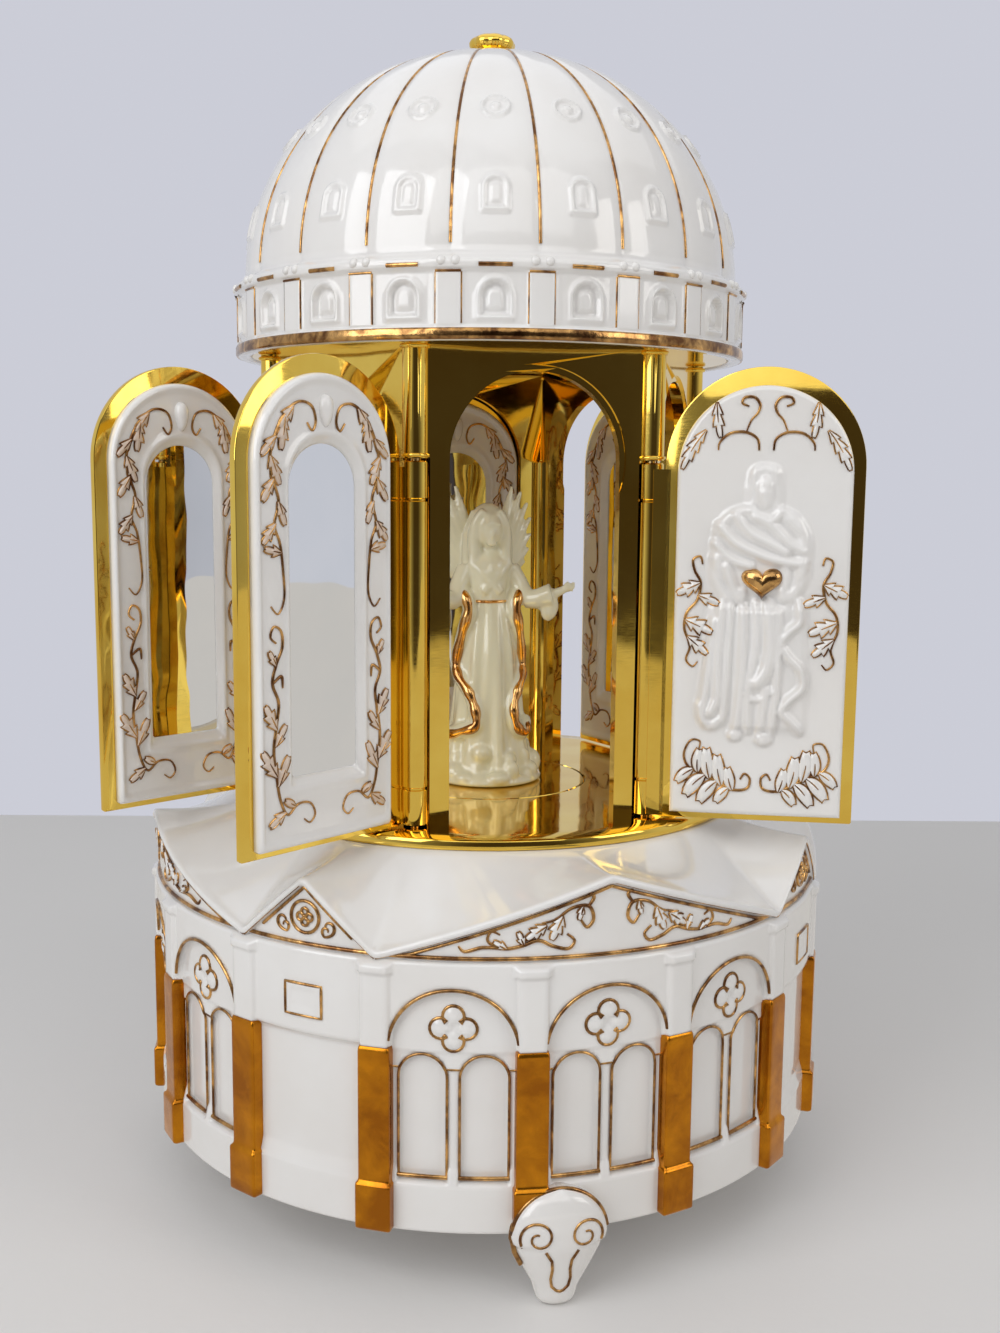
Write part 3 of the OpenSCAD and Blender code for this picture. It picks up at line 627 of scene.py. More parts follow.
WALL_PROFILE_Z = [14.4, 14.6, 15.0, 23.5, 24.1, 26.4, 26.9, 49.9, 50.4, 51.0, 66.8, 67.3, 67.5]
WALL_PROFILE_R = [74.2, 74.6, 74.9, 74.9, 74.7, 74.1, 74.0, 74.0, 74.5, 75.4, 75.4, 75.2, 74.8]
WALL_EDGES_X = (0, 1.2, 10.4, 11.43)
WALL_EDGES_Z = (15, 23.8, 24.4, 26.6, 46.5, 50.4, 54.4, 60.6, 65, 66.8)
WALL_INSIDE = [(73.8, WALL_TOP), (WALL_IN_R + 0.3, WALL_TOP), (WALL_IN_R, WALL_TOP - 0.3), (WALL_IN_R, 40.0),
               (WALL_IN_R, 17.2), (70.7, 17.0), (70.9, 16.8), (70.9, 14.6), (71.1, 14.4), (73.9, 14.4)]


def wall_face(x, z, arcade):
    """Radius of the wall's outer face at a distance from a bay's middle and a height."""
    r = np.interp(z, WALL_PROFILE_Z, WALL_PROFILE_R)
    if arcade:
        in_arch = 1 - ramp(np.hypot(x, z - ARCH_Z) - ARCH_R, 0.9)
        r = r - (r - ARCH_FIELD_R) * in_arch * ramp(z - ARCH_Z + 0.4, 0.6)
        plate = (1 - ramp(z - PLATE_FOOT, 0.7)) * ramp(z - 27.1, 1.2)
        r = r - 0.42 * plate * (1 - ramp(np.abs(x) - PLATE_HALF, 0.6))
        r = r - np.maximum(r - LANCET_BACK_R, 0) * (1 - ramp(lancet_gap(x, z), 0.8))
        r = r + 0.7 * (1 - ramp(quatrefoil_gap(x, z) + 0.5, 1.6))
    else:
        badge = np.maximum(np.abs(x) - BADGE_HALF, np.abs(z - BADGE_Z) - BADGE_TALL)
        r = r + 0.35 * (1 - ramp(badge, 0.7)) - 0.25 * (1 - ramp(badge + 1.1, 0.6))
    pier = ramp(np.abs(x) - (BAY_REACH - PILASTER_HALF + 0.3), 0.6)
    r = np.where(z > ARCH_Z, r + (PIER_R - r) * pier * (1 - ramp(z - PIER_TOP, 0.7)), r)
    cap = ramp(np.abs(x) - (BAY_REACH - PILASTER_HALF - 0.3), 0.5)
    return r + cap * 0.55 * ramp(z - 64.9, 0.5) * (1 - ramp(z - 66.8, 0.5))


def base_wall():
    """The arcaded wall: one bay's relief after another, closed by a plain inside."""
    edges = [s * math.degrees(math.asin(e / BASE_R)) for e in WALL_EDGES_X for s in (-1, 1)]
    across = stations(-BAY_DEG / 2, BAY_DEG / 2, 0.62, edges, 0.24)[:-1]
    heights = stations(BASE_CLEAR, WALL_TOP, 0.68, WALL_EDGES_Z)[:, None]
    x = BASE_R * np.sin(np.radians(across))
    columns = [round_axis(wall_face(x[None, :], heights, has_arcade(k)),
                          BASE_TURN + k * BAY_DEG + across[None, :], heights) for k in range(BAYS)]
    angles = np.concatenate([BASE_TURN + k * BAY_DEG + across for k in range(BAYS)])
    inner = np.array([round_axis(r, angles, z) for r, z in WALL_INSIDE])
    made = mesh_of("base_wall", *shell(np.concatenate([np.concatenate(columns, axis=1), inner])))
    return ready(made, "porcelain", "base", "porcelain", ["base_casting"])


def gable_top(deg):
    """Height of the roof's edge: wide and small gables alternate."""
    d = (np.asarray(deg, float) - BASE_TURN + 45) % 90 - 45
    wide = EAVES_Z + (WIDE_PEAK - EAVES_Z) * (1 - np.abs(d) / (1.5 * BAY_DEG))
    small = EAVES_Z + (SMALL_PEAK - EAVES_Z) * (1 - (45 - np.abs(d)) / (0.5 * BAY_DEG))
    return np.where(np.abs(d) <= 1.5 * BAY_DEG, wide, small)


def star_roof():
    """Tympana, raking cornice and the slopes up to the seat of the deck."""
    angles = np.arange(768) * 360 / 768
    soft_deg = 0.5
    g = sum(gable_top(angles + s) for s in (-soft_deg, 0, soft_deg)) / 3
    low = np.full_like(g, WALL_TOP - 1)
    level = np.zeros_like(g)
    rows = [(TYMPANUM_R, low), (TYMPANUM_R, low + 0.6), (TYMPANUM_R, np.maximum(g - 2.3, low + 0.8)),
            (74.6, np.maximum(g - 1.9, low + 0.9)), (75.1, g - 1.65), (75.55, g - 1.4), (CORNICE_R, g - 0.95),
            (CORNICE_R, g - 0.5), (75.5, g - 0.12), (74.9, g + 0.02)]
    for t in np.linspace(0.06, 1, 14):
        rows.append((74.9 + (DECK_R - 74.9) * t, g + (UNDER_DECK - g) * t - 0.5 * np.sin(math.pi * t)))
    for r, z in ((50.6, UNDER_DECK), (50.2, UNDER_DECK - 0.4), (50.2, 80.2), (56.8, 80.0),
                 (70.6, 66.2), (71.0, 65.9), (74.3, 65.9)):
        rows.append((r, level + z))
    made = mesh_of("gabled_roof", *shell([round_axis(r, angles, z) for r, z in rows]))
    return ready(made, "porcelain", "base", "porcelain", ["base_casting"])


def pilaster_bars():
    """Gilded flat bars between the bays, each on a wider base block."""
    soft = 0.45
    turn = np.radians(np.linspace(0, 90, 5))

    def section(half, front, z):
        corner = arc(half - soft, front - soft, soft, turn)
        other = (corner * [-1, 1])[::-1]
        flat = np.linspace(half - soft, -(half - soft), 7)[1:-1]
        outline = np.concatenate([[[half, 73.0]], corner, np.stack([flat, np.full(5, front)], -1),
                                  other, [[-half, 73.0]]])
        return np.stack([outline[:, 0], -outline[:, 1], np.full(len(outline), z)], -1)

    levels = [(3.2, 76.6, 14.75), (3.5, 77.0, 15.1), (3.5, 77.1, 15.5), (3.5, 77.1, 19.0),
              (3.5, 77.1, 22.9), (3.5, 77.1, 23.5), (3.45, 77.0, 23.9), (3.2, 76.7, 24.15),
              (3.1, 76.45, 24.5), (3.1, 76.4, 25.2)]
    levels += [(3.1, 76.4, z) for z in np.linspace(28, 49.6, 9)]
    levels += [(3.05, 76.3, 50.3), (2.9, 76.1, 50.65)]
    made = mesh_of("pilaster_bars", *loft([section(*level) for level in levels]))
    ring_of(made, BAYS, BASE_TURN + BAY_DEG / 2, BAY_DEG, "pilaster_gold")
    return ready(creased(made, 50), "pilaster_gold", "base", "gilt_lustre")


def bay_point(k, r, x, z):
    """A point at a radius, a distance across from the middle of bay k, and a height."""
    return round_axis(r, BASE_TURN + k * BAY_DEG + np.degrees(np.arcsin(x / BASE_R)), z)


def on_wall(k, x, z, lift=0.0):
    """A point on the wall's face in bay k."""
    x, z = np.asarray(x, float), np.asarray(z, float)
    return bay_point(k, wall_face(x, z, has_arcade(k)) + lift, x, z)


def flower_path():
    """The four-lobed flower's outline about its own middle."""
    path = []
    bow = np.radians(np.linspace(-128, 128, 14))
    for q in range(4):
        c, s = math.sin(math.radians(90 * q)), math.cos(math.radians(90 * q))
        path.append(np.stack([PETAL_AT * c + PETAL_R * (np.cos(bow) * c + np.sin(bow) * s),
                              PETAL_AT * s + PETAL_R * (np.cos(bow) * s - np.sin(bow) * c)], -1))
    return np.concatenate(path)


def lancet_path(mid):
    """Up one side of a lancet, round its head and down the other side."""
    rise = np.linspace(LANCET_SILL + 1.0, LANCET_SPRING, 12)
    head = arc(mid, LANCET_SPRING, LANCET_HALF, np.radians(np.linspace(0, 180, 24)))
    return np.concatenate([np.stack([np.full(12, mid + LANCET_HALF), rise], -1), head[1:-1],
                           np.stack([np.full(12, mid - LANCET_HALF), rise[::-1]], -1)])


def wall_lines():
    """Gold lines round the arches, lancets, plates, flowers and badges."""
    lines = []
    arch = arc(0, ARCH_Z, ARCH_R, np.radians(np.linspace(8, 172, 44)))
    flower = flower_path()
    low, high = BADGE_Z - BADGE_TALL, BADGE_Z + BADGE_TALL
    corners = [(-BADGE_HALF, low), (BADGE_HALF, low), (BADGE_HALF, high), (-BADGE_HALF, high)]
    badge = np.concatenate([np.linspace(corners[i], corners[(i + 1) % 4], 7)[:-1] for i in range(4)])
    for k in range(BAYS):
        if not has_arcade(k):
            lines.append((on_wall(k, badge[:, 0], badge[:, 1], 0.02), 0.3, True))
            continue
        lines.append((bay_point(k, 75.42, arch[:, 0], arch[:, 1]), 0.34, False))
        for s in (-1, 1):
            mid = s * LANCET_AT
            path = lancet_path(mid)
            r = 73.78 + 0.25 * ramp(path[:, 1] - PLATE_FOOT, 0.6)
            lines.append((bay_point(k, r, path[:, 0], path[:, 1]), 0.27, False))
            sill = np.linspace(mid - LANCET_HALF - 0.2, mid + LANCET_HALF + 0.2, 10)
            lines.append((bay_point(k, 73.95, sill, LANCET_SILL + 0.9), 0.42, False))
            step = np.linspace(mid + s * LANCET_HALF, mid + s * 5.65, 4)
            lines.append((on_wall(k, step, np.full(4, PLATE_FOOT)), 0.24, False))
        lines.append((on_wall(k, np.linspace(-1.2, 1.2, 5), np.full(5, PLATE_FOOT)), 0.24, False))
        lines.append((on_wall(k, flower[:, 0], FLOWER_Z + flower[:, 1], 0.05), 0.32, True))
    made = drawn("wall_gold_lines", lines, "line_gold")
    return ready(made, "line_gold", "base", "gilt_lustre")


def on_gable(middle_deg):
    """Places (across, up) on the tympana, lifted outwards."""
    def place(path, lift=0.0):
        path = np.asarray(path, float)
        return round_axis(TYMPANUM_R + lift, middle_deg + np.degrees(path[..., 0] / TYMPANUM_R), path[..., 1])
    return place


ROSETTE_Z = 73.4
GABLE_STEMS = [
    [(5.8, 75.0), (4.6, 73.6), (3.4, 75.2), (4.4, 77.6), (7.6, 77.4), (10.6, 75.4), (13.2, 74.8)],
    [(4.4, 77.6), (3.4, 79.2), (4.4, 80.2)],
    [(8.4, 72.6), (7.0, 71.2), (8.2, 69.8), (11.0, 70.4), (13.8, 71.6), (17.0, 70.6), (20.4, 70.2),
     (23.0, 71.6), (22.4, 73.4), (20.8, 72.8)],
    [(20.4, 70.2), (24.0, 70.4), (27.2, 69.6), (28.4, 70.6)],
]
GABLE_LEAVES = [((9.4, 76.0), -66, 4.6, 3, 0.36), ((12.4, 74.4), -34, 4.2, 3, 0.36),
                ((16.4, 70.8), 66, 2.6, 2, 0.36), ((5.6, 77.6), -76, 2.4, 2, 0.34),
                ((19.6, 70.2), 30, 2.6, 2, 0.34)]


def gable_edges(place, half, peak):
    """Inner rake, sill and outer edge of a gable, as gold lines."""
    foot = EAVES_Z - 0.55
    run = np.linspace(-1, 1, 41)
    rake_half = half - 4.6
    rake = np.stack([run * rake_half,
                     EAVES_Z - 2.35 + (peak - EAVES_Z) * (1 - np.abs(run) * rake_half / half)], -1)
    rake[:, 1] = np.maximum(rake[:, 1], foot + 0.2)
    sill = np.stack([run * (half - 1.2), np.full(41, foot)], -1)
    edge = np.stack([run * half * 0.995, EAVES_Z - 1.35 + (peak - EAVES_Z) * (1 - np.abs(run) * 0.995)], -1)
    return [(place(rake, 0.12), 0.33, False), (place(sill, 0.2), 0.42, False),
            (place(edge, 0.85), 0.2, False)]


def small_gable_lines(place):
    """A ringed flower between two pairs of hooks."""
    ring = around(28)
    lines = [(place(arc(0, ROSETTE_Z, 3.1, ring), 0.15), 0.34, True)]
    for q in range(4):
        c, s = math.cos(math.radians(90 * q)), math.sin(math.radians(90 * q))
        lines.append((place(arc(0.95 * c, ROSETTE_Z + 0.95 * s, 0.75, ring), 0.2), 0.3, True))
    for s in (-1, 1):
        for heading, length, curl, wide in ((8, 6.2, 260, 0.34), (130, 3.4, -240, 0.3)):
            hook = scroll((4.2, 70.0), heading, length, curl, 1.7)
            lines.append((place(hook * [s, 1], 0.1), taper(hook, wide), False))
    return lines


def gable_ornament():
    lines, bodies = [], []
    for q in range(4):
        wide, small = BASE_TURN + 90 * q, BASE_TURN + 45 + 90 * q
        for middle, half_deg, peak in ((wide, 1.5 * BAY_DEG, WIDE_PEAK), (small, 0.5 * BAY_DEG, SMALL_PEAK)):
            lines += gable_edges(on_gable(middle), math.radians(half_deg) * TYMPANUM_R, peak)
        add_ornament(GABLE_STEMS, GABLE_LEAVES, on_gable(wide), 0.36, lines, bodies, 0.7)
        lines += small_gable_lines(on_gable(small))
    ready(drawn("gable_gold_lines", lines, "line_gold"), "line_gold", "base", "gilt_lustre")
    ready(mesh_of("gable_leaves", *together(bodies)), "porcelain", "base", "porcelain")


# ---- Feet ----


FOOT_NECK_Z = [0, 1.2, 4, 8, 12, 15]
FOOT_NECK_HALF = [3.0, 3.7, 4.4, 6.6, 8.6, 9.2]
FOOT_FRONT_Z = [0, 1.5, 5, 9, 13, 17, 20, 22.5, FOOT_TOP]
FOOT_FRONT_R = [75.4, 76.9, 77.6, 78.5, 79.3, 79.5, 79.3, 78.6, 77.2]
FOOT_HEAD_Z = FOOT_TOP - FOOT_HALF
FOOT_DROP = [[3.1, 13.0], [1.9, 11.0], [1.7, 9.0], [1.9, 7.0], [1.6, 5.2], [0.7, 4.3]]


def foot_half(z):
    """Half width of a foot's shield at a height."""
    head = np.sqrt(np.maximum(FOOT_HALF ** 2 - (z - FOOT_HEAD_Z) ** 2, 0))
    return np.where(z > FOOT_HEAD_Z, head, np.minimum(np.interp(z, FOOT_NECK_Z, FOOT_NECK_HALF), FOOT_HALF))


def foot_front(z):
    """How far a foot's face stands from the axis at a height."""
    return np.interp(z, FOOT_FRONT_Z, FOOT_FRONT_R)


def on_foot(path, lift=0.04):
    """Places (across, up) on the bulging face of a foot that looks to -Y."""
    path = np.asarray(path, float)
    x, z = path[:, 0], path[:, 1]
    share = np.clip(np.abs(x) / np.maximum(foot_half(z), 0.1), 0, 0.999)
    deep = np.sin(np.arccos(share)) ** 0.55
    back = np.where(z < BASE_CLEAR - 0.4, 71.8, 75.2)
    return np.stack([x, -(back + (foot_front(z) - back) * deep + lift), z], -1)


def foot_lines():
    """Two drawn spirals that meet in a U, and the rim over the top."""
    lines = []
    for s in (-1, 1):
        a = np.radians(np.linspace(0, 500, 60))
        r = 0.7 + 2.9 * np.linspace(0, 1, 60)
        turn = 0.55 * math.pi - a
        curl = np.array([s * 4.5, 15.9]) + np.stack([s * r * np.cos(turn), r * np.sin(turn)], -1)
        lines.append((on_foot(curl), 0.3 * np.linspace(0.7, 1, 60), False))
    drop = np.array(FOOT_DROP)
    u = np.concatenate([drop, [[0, 4.05]], drop[::-1] * [-1, 1]])
    smooth_u = np.stack([np.interp(np.linspace(0, 12, 49), np.arange(13), u[:, c]) for c in (0, 1)], -1)
    lines.append((on_foot(smooth_u), 0.3, False))
    rim_z = np.linspace(9.5, 23.4, 24)[:14]
    rim = np.stack([-foot_half(rim_z) * 0.985, np.full(14, -76.0), rim_z], -1)
    top = arc(0, FOOT_HEAD_Z, FOOT_HALF * 0.985, np.radians(np.linspace(172, 8, 30)))
    top = np.stack([top[:, 0], np.full(30, -76.6), top[:, 1]], -1)
    lines.append((np.concatenate([rim, top]), 0.5, False))
    return lines


def foot(side, deg):
    """A bulging scroll shield on a small toe, turned to its place under the wall."""
    levels = np.concatenate([[0, 0.25, 0.8], np.linspace(1.8, 21, 34),
                             [21.8, 22.5, 23.1, 23.6, 23.9, 24.1, 24.18]])
    turn = np.linspace(0, math.pi, 33)
    rings = []
    for z in levels:
        half, front = float(foot_half(z)), float(foot_front(z))
        back = 70.6 if z < BASE_CLEAR - 0.4 else 74.0
        low = np.interp(z, [0, 0.25, 0.8], [0.75, 0.9, 1.0])
        x = half * low * np.cos(turn)
        y = back + 1.2 + (front - back - 1.2) * np.sin(turn) ** 0.55 * low
        tail = np.array([[-half * 0.9 * low, back], [0, back - 0.01], [half * 0.9 * low, back]])
        outline = np.concatenate([np.stack([x, y], -1), tail])
        rings.append(np.stack([outline[:, 0], -outline[:, 1], np.full(len(outline), z)], -1))
    spin = Matrix.Rotation(math.radians(deg), 4, "Z")
    shield = mesh_of(f"{side}_foot", *loft(rings))
    shield.data.transform(spin)
    ready(shield, "porcelain", "base", "porcelain", [f"foot_{side}"])
    gold = drawn(f"{side}_foot_gold", foot_lines(), "line_gold")
    gold.data.transform(spin)
    ready(gold, "line_gold", "base", "gilt_lustre")


# ---- Deck, turntable, cabinet ----


def deck_and_turntable():
    """The gilt deck with its recess, and the round plate that turns in it."""
    rim = [(0.02, UNDER_DECK), (5.0, UNDER_DECK), (DECK_R - 0.7, UNDER_DECK),
           (DECK_R - 0.25, UNDER_DECK + 0.15), (DECK_R, UNDER_DECK + 0.55), (DECK_R, DECK_Z - 0.65),
           (DECK_R - 0.2, DECK_Z - 0.22), (DECK_R - 0.65, DECK_Z), (52.0, DECK_Z), (40.0, DECK_Z),
           (30.0, DECK_Z), (TURNTABLE_R + 0.45, DECK_Z), (TURNTABLE_R + 0.3, DECK_Z - 0.15),
           (TURNTABLE_R + 0.3, DECK_Z - 1.3), (0.02, DECK_Z - 1.3)]
    top = [(0.02, DECK_Z - 0.98), (TURNTABLE_R - 0.1, DECK_Z - 0.98), (TURNTABLE_R, DECK_Z - 0.85),
           (TURNTABLE_R, DECK_Z - 0.18), (TURNTABLE_R - 0.18, DECK_Z), (14.0, DECK_Z), (0.02, DECK_Z)]
    for name, profile, body, node in (("gilt_deck", rim, "base", "deck"),
                                      ("turntable_plate", top, "figure_turntable", "turntable")):
        ready(creased(mesh_of(name, *loft(lathe(profile)))), "gilt", body, "gilt", [node])


def softened(node, name, material, body, slot):
    """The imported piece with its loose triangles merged, its flats joined and its edges rounded."""
    made = bpy.data.objects.new(name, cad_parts[node].data.copy())
    bpy.context.scene.collection.objects.link(made)
    shape = bmesh.new()
    shape.from_mesh(made.data)
    bmesh.ops.remove_doubles(shape, verts=shape.verts[:], dist=2e-6)
    bmesh.ops.dissolve_limit(shape, angle_limit=math.radians(0.6), verts=shape.verts[:], edges=shape.edges[:])
    shape.to_mesh(made.data)
    shape.free()
    bevel = made.modifiers.new("soft_edges", "BEVEL")
    bevel.width, bevel.segments, bevel.limit_method = 0.22 * MM, 2, "ANGLE"
    bevel.angle_limit, bevel.use_clamp_overlap = math.radians(30), True
    finished_mesh(made)
    made.data.polygons.foreach_set("use_smooth", [True] * len(made.data.polygons))
    return ready(creased(made, 24.0), material, body, slot, [node])


def post_trim():
    """Split rings and collars where the hinge barrels meet the posts."""
    lines = []
    for k in range(6):
        a = np.radians(np.linspace(0, 360, 40, endpoint=False))
        centre = round_axis(POST_R, 60 * k - 30, 0)
        for z, r, w in ((SPRING_Z + 0.75, BARREL_R + 0.05, 0.35), (DECK_Z + 94.2, BARREL_R + 0.1, 0.45)):
            ring = np.stack([centre[0] + r * np.cos(a), centre[1] + r * np.sin(a), np.full(40, z)], -1)
            lines.append((ring, w, True))
    ready(drawn("post_collars", lines, "gilt"), "gilt", "base", "gilt")


# ---- Doors: made once in a door's own frame, then set at each hinge ----


def door_matrix(index, side):
    """From a door's own frame, with its pin at the origin, to its place on the cabinet."""
    return (Matrix.Rotation(math.radians(60 * index - 30), 4, "Z")
            @ Matrix.Translation((0, -POST_R * MM, 0))
            @ Matrix.Rotation(math.radians(30 - DOOR_OPEN[side]), 4, "Z"))


def arch_loop(mid, half, foot, spring, corner=0.0, sides=40, per_side=30, across=14):
    """A round-headed outline from the lower left corner, counted the same for any size."""
    left, right = mid - half, mid + half
    bottom = np.stack([np.linspace(left + corner, right - corner, across), np.full(across, foot)], -1)
    up = np.stack([np.full(per_side, right), np.linspace(foot + corner, spring, per_side)], -1)
    turn = np.radians(np.linspace(0, 180, sides + 2)[1:-1])
    head = np.stack([mid + half * np.cos(turn), spring + half * np.sin(turn)], -1)
    down = np.stack([np.full(per_side, left), np.linspace(spring, foot + corner, per_side)], -1)
    if corner == 0:
        up, down = up[1:], down[:-1]
    return np.concatenate([bottom, up, head, down])


def standing(outline, y):
    """A flat outline in a door's frame at a depth y."""
    outline = np.asarray(outline, float)
    return np.stack([outline[:, 0], np.broadcast_to(y, len(outline)), outline[:, 1]], -1)


def door_leaf():
    """Gilt panel with a rounded edge, its hinge barrel and the web between them."""
    def rim(inset, y):
        return standing(arch_loop(PANEL_MID, PANEL_HALF - inset, BARREL_FOOT + inset, DOOR_SPRING, 0.3), y)

    def ring(r, z):
        return np.stack([r * np.cos(turn), r * np.sin(turn), np.full(48, z)], -1)

    turn = around(48)
    panel = loft([rim(0.28, PANEL_BACK), rim(0.08, PANEL_BACK + 0.08), rim(0, PANEL_BACK + 0.3),
                  rim(0, PANEL_FACE - 0.3), rim(0.08, PANEL_FACE - 0.08), rim(0.28, PANEL_FACE)])
    stack = [ring(PIN_R + 0.05, BARREL_FOOT), ring(BARREL_R - 0.25, BARREL_FOOT),
             ring(BARREL_R, BARREL_FOOT + 0.25)]
    for z in (BARREL_FOOT + 7.5, BARREL_TOP - 7.5):
        for up, sunk in ((-0.35, 0), (-0.12, 0.3), (0.12, 0.3), (0.35, 0)):
            stack.append(ring(BARREL_R - sunk, z + up))
    stack += [ring(BARREL_R, BARREL_TOP - 0.25), ring(BARREL_R - 0.25, BARREL_TOP),
              ring(PIN_R + 0.05, BARREL_TOP)]
    y0, y1 = PANEL_BACK, PANEL_FACE - 0.1
    web = [np.array([[0.6, y0, z], [4.0, y0, z], [4.0, y1, z], [0.6, y1, z]])
           for z in (BARREL_FOOT + 0.3, BARREL_TOP - 1.2)]
    return creased(mesh_of("door_leaf", *together([panel, shell(stack), loft(web)])), 30)


def soft_box(x, z, half_x, half_z, edge):
    """A raised block, 1 inside and 0 outside, with soft edges."""
    return (1 - ramp(np.abs(x) - half_x, edge)) * (1 - ramp(np.abs(z) - half_z, edge))


def bump_at(x, z, at_x, at_z, wide, tall, lean=0.0):
    """A domed oval, 1 at its middle and 0 at its rim."""
    c, s = math.cos(math.radians(lean)), math.sin(math.radians(lean))
    u, v = (x - at_x) * c + (z - at_z) * s, -(x - at_x) * s + (z - at_z) * c
    return np.sqrt(np.clip(1 - (u / wide) ** 2 - (v / tall) ** 2, 0, 1))


RELIEF = 0.95
GROUND_SHARE = 0.8


def roll(x, z, path, wide, high):
    """Height of a soft roll of cloth laid along a path."""
    gap = np.full(np.shape(x + z), 1e6)
    points = flowing(path, 4)
    for (x0, z0), (x1, z1) in zip(points[:-1], points[1:]):
        dx, dz = x1 - x0, z1 - z0
        t = np.clip(((x - x0) * dx + (z - z0) * dz) / (dx * dx + dz * dz + 1e-9), 0, 1)
        gap = np.minimum(gap, np.hypot(x - x0 - t * dx, z - z0 - t * dz))
    return RELIEF * high * np.cos(np.clip(gap / wide, 0, 1) * math.pi / 2) ** 1.5


CLOTH_ROLLS = [
    ([(-2.0, 157.2), (0, 157.6), (2.0, 157.2)], 1.1, 0.7),
    ([(-2.4, 156.6), (-2.9, 152.8), (-2.7, 149.0)], 1.2, 0.65),
    ([(2.4, 156.6), (2.9, 152.8), (2.7, 149.0)], 1.2, 0.65),
    ([(-2.8, 149.4), (-0.6, 147.3), (1.6, 147.2), (3.4, 149.2)], 1.2, 1.1),
    ([(-2.0, 148.0), (1.4, 146.2), (4.6, 143.0), (7.8, 141.2)], 1.4, 1.3),
    ([(-5.6, 148.4), (-3.0, 145.0), (1.0, 142.8), (4.4, 141.0)], 1.5, 1.35),
    ([(-8.6, 146.2), (-5.6, 142.8), (-1.0, 140.6), (3.6, 139.2), (7.8, 138.6)], 1.5, 1.45),
    ([(-9.4, 142.6), (-6.6, 139.6), (-2.4, 138.2)], 1.3, 1.1),
    ([(4.6, 147.6), (7.2, 145.0)], 1.2, 1.0),
    ([(3.2, 149.0), (6.2, 147.4), (7.9, 144.4), (8.1, 140.8)], 1.6, 0.8),
    ([(-3.4, 149.2), (-6.8, 148.0), (-8.8, 145.0)], 1.6, 0.8),
    ([(-9.0, 139.5), (-8.9, 135.6), (-6.8, 132.0)], 2.1, 1.2),
    ([(-7.2, 138.0), (-6.2, 134.6), (-4.8, 132.2)], 1.7, 1.3),
    ([(7.6, 139.0), (7.5, 135.4), (5.6, 132.2)], 2.1, 1.3),
    ([(4.6, 138.0), (4.6, 135.0), (4.0, 132.6)], 1.4, 0.9),
    ([(-3.6, 130.6), (-3.4, 118), (-4.4, 105.4)], 1.3, 1.0),
    ([(-1.0, 130.8), (-0.6, 123), (-2.2, 113), (-2.0, 105.0)], 1.2, 0.95),
    ([(1.2, 130), (2.0, 123.6), (1.4, 118.0), (-0.4, 115.0)], 2.2, 1.6),
    ([(3.3, 129.6), (3.7, 118), (2.6, 105.0)], 1.2, 1.1),
    ([(1.4, 113.6), (0.4, 105.0)], 1.3, 1.0),
    ([(-3.2, 113.2), (-0.6, 111.4), (2.4, 113.0)], 0.8, 0.9),
    ([(-7.6, 131.0), (-8.4, 120), (-8.2, 112), (-9.6, 108.6)], 1.5, 1.15),
    ([(-9.2, 127), (-10.2, 116), (-11.2, 109.6)], 1.4, 1.0),
    ([(-6.0, 131), (-6.2, 118), (-6.8, 107.6)], 1.2, 0.9),
    ([(-11.6, 110.2), (-10.9, 106.8), (-9.0, 105.8), (-7.2, 107.2)], 1.4, 1.2),
    ([(7.2, 131.4), (7.6, 127.4), (5.4, 125.2), (4.0, 122.8), (5.6, 120.2), (8.2, 117.4), (8.6, 114.2),
      (5.8, 111.4), (4.6, 109.2), (6.6, 107.2), (8.2, 105.2)], 1.25, 1.5),
]


def robed_figure(x, z):
    """Height of the relief: a robed figure in a gathered cloak, hands held to the chest."""
    drop = (131 - z) / 26
    ground = GROUND_SHARE * np.maximum.reduce([
        1.0 * soft_box(x + 0.4, z - 117.6, 4.8, 12.0, 1.6),
        0.85 * soft_box(x - 6.2 - 0.7 * drop, z - 118, 2.4, 12.4, 1.8),
        0.85 * soft_box(x + 7.4 + 2.3 * drop, z - 119, 2.3 + 0.8 * drop, 11.4, 1.8),
        1.25 * bump_at(x, z, -0.3, 141.6, 10.2, 9.2),
        1.05 * soft_box(x, z - 153, 2.3, 4.0, 1.3),
        1.1 * bump_at(x, z, -9.7, 109.4, 3.0, 3.4),
        1.2 * bump_at(x, z, 0, 148.4, 2.6, 2.8)])
    face = bump_at(x, z, 0, 152.6, 1.75, 3.4)
    hands = 1.3 * np.maximum(bump_at(x, z, -4.2, 132.3, 1.4, 1.8, -20),
                             bump_at(x, z, 4.4, 132.5, 1.4, 1.8, 20))
    feet = 1.2 * np.maximum(bump_at(x, z, -4.4, 104.2, 1.6, 1.5), bump_at(x, z, 1.3, 103.6, 2.0, 1.7))
    nose = 0.28 * bump_at(x, z, 0, 152.5, 0.4, 1.2)
    eyes = 0.16 * (bump_at(x, z, -0.8, 153.3, 0.5, 0.36) + bump_at(x, z, 0.8, 153.3, 0.5, 0.36))
    cloth = np.maximum.reduce([roll(x, z, *one) for one in CLOTH_ROLLS])
    return np.maximum.reduce([ground + np.maximum(cloth, face), ground + hands, feet]) + nose - eyes


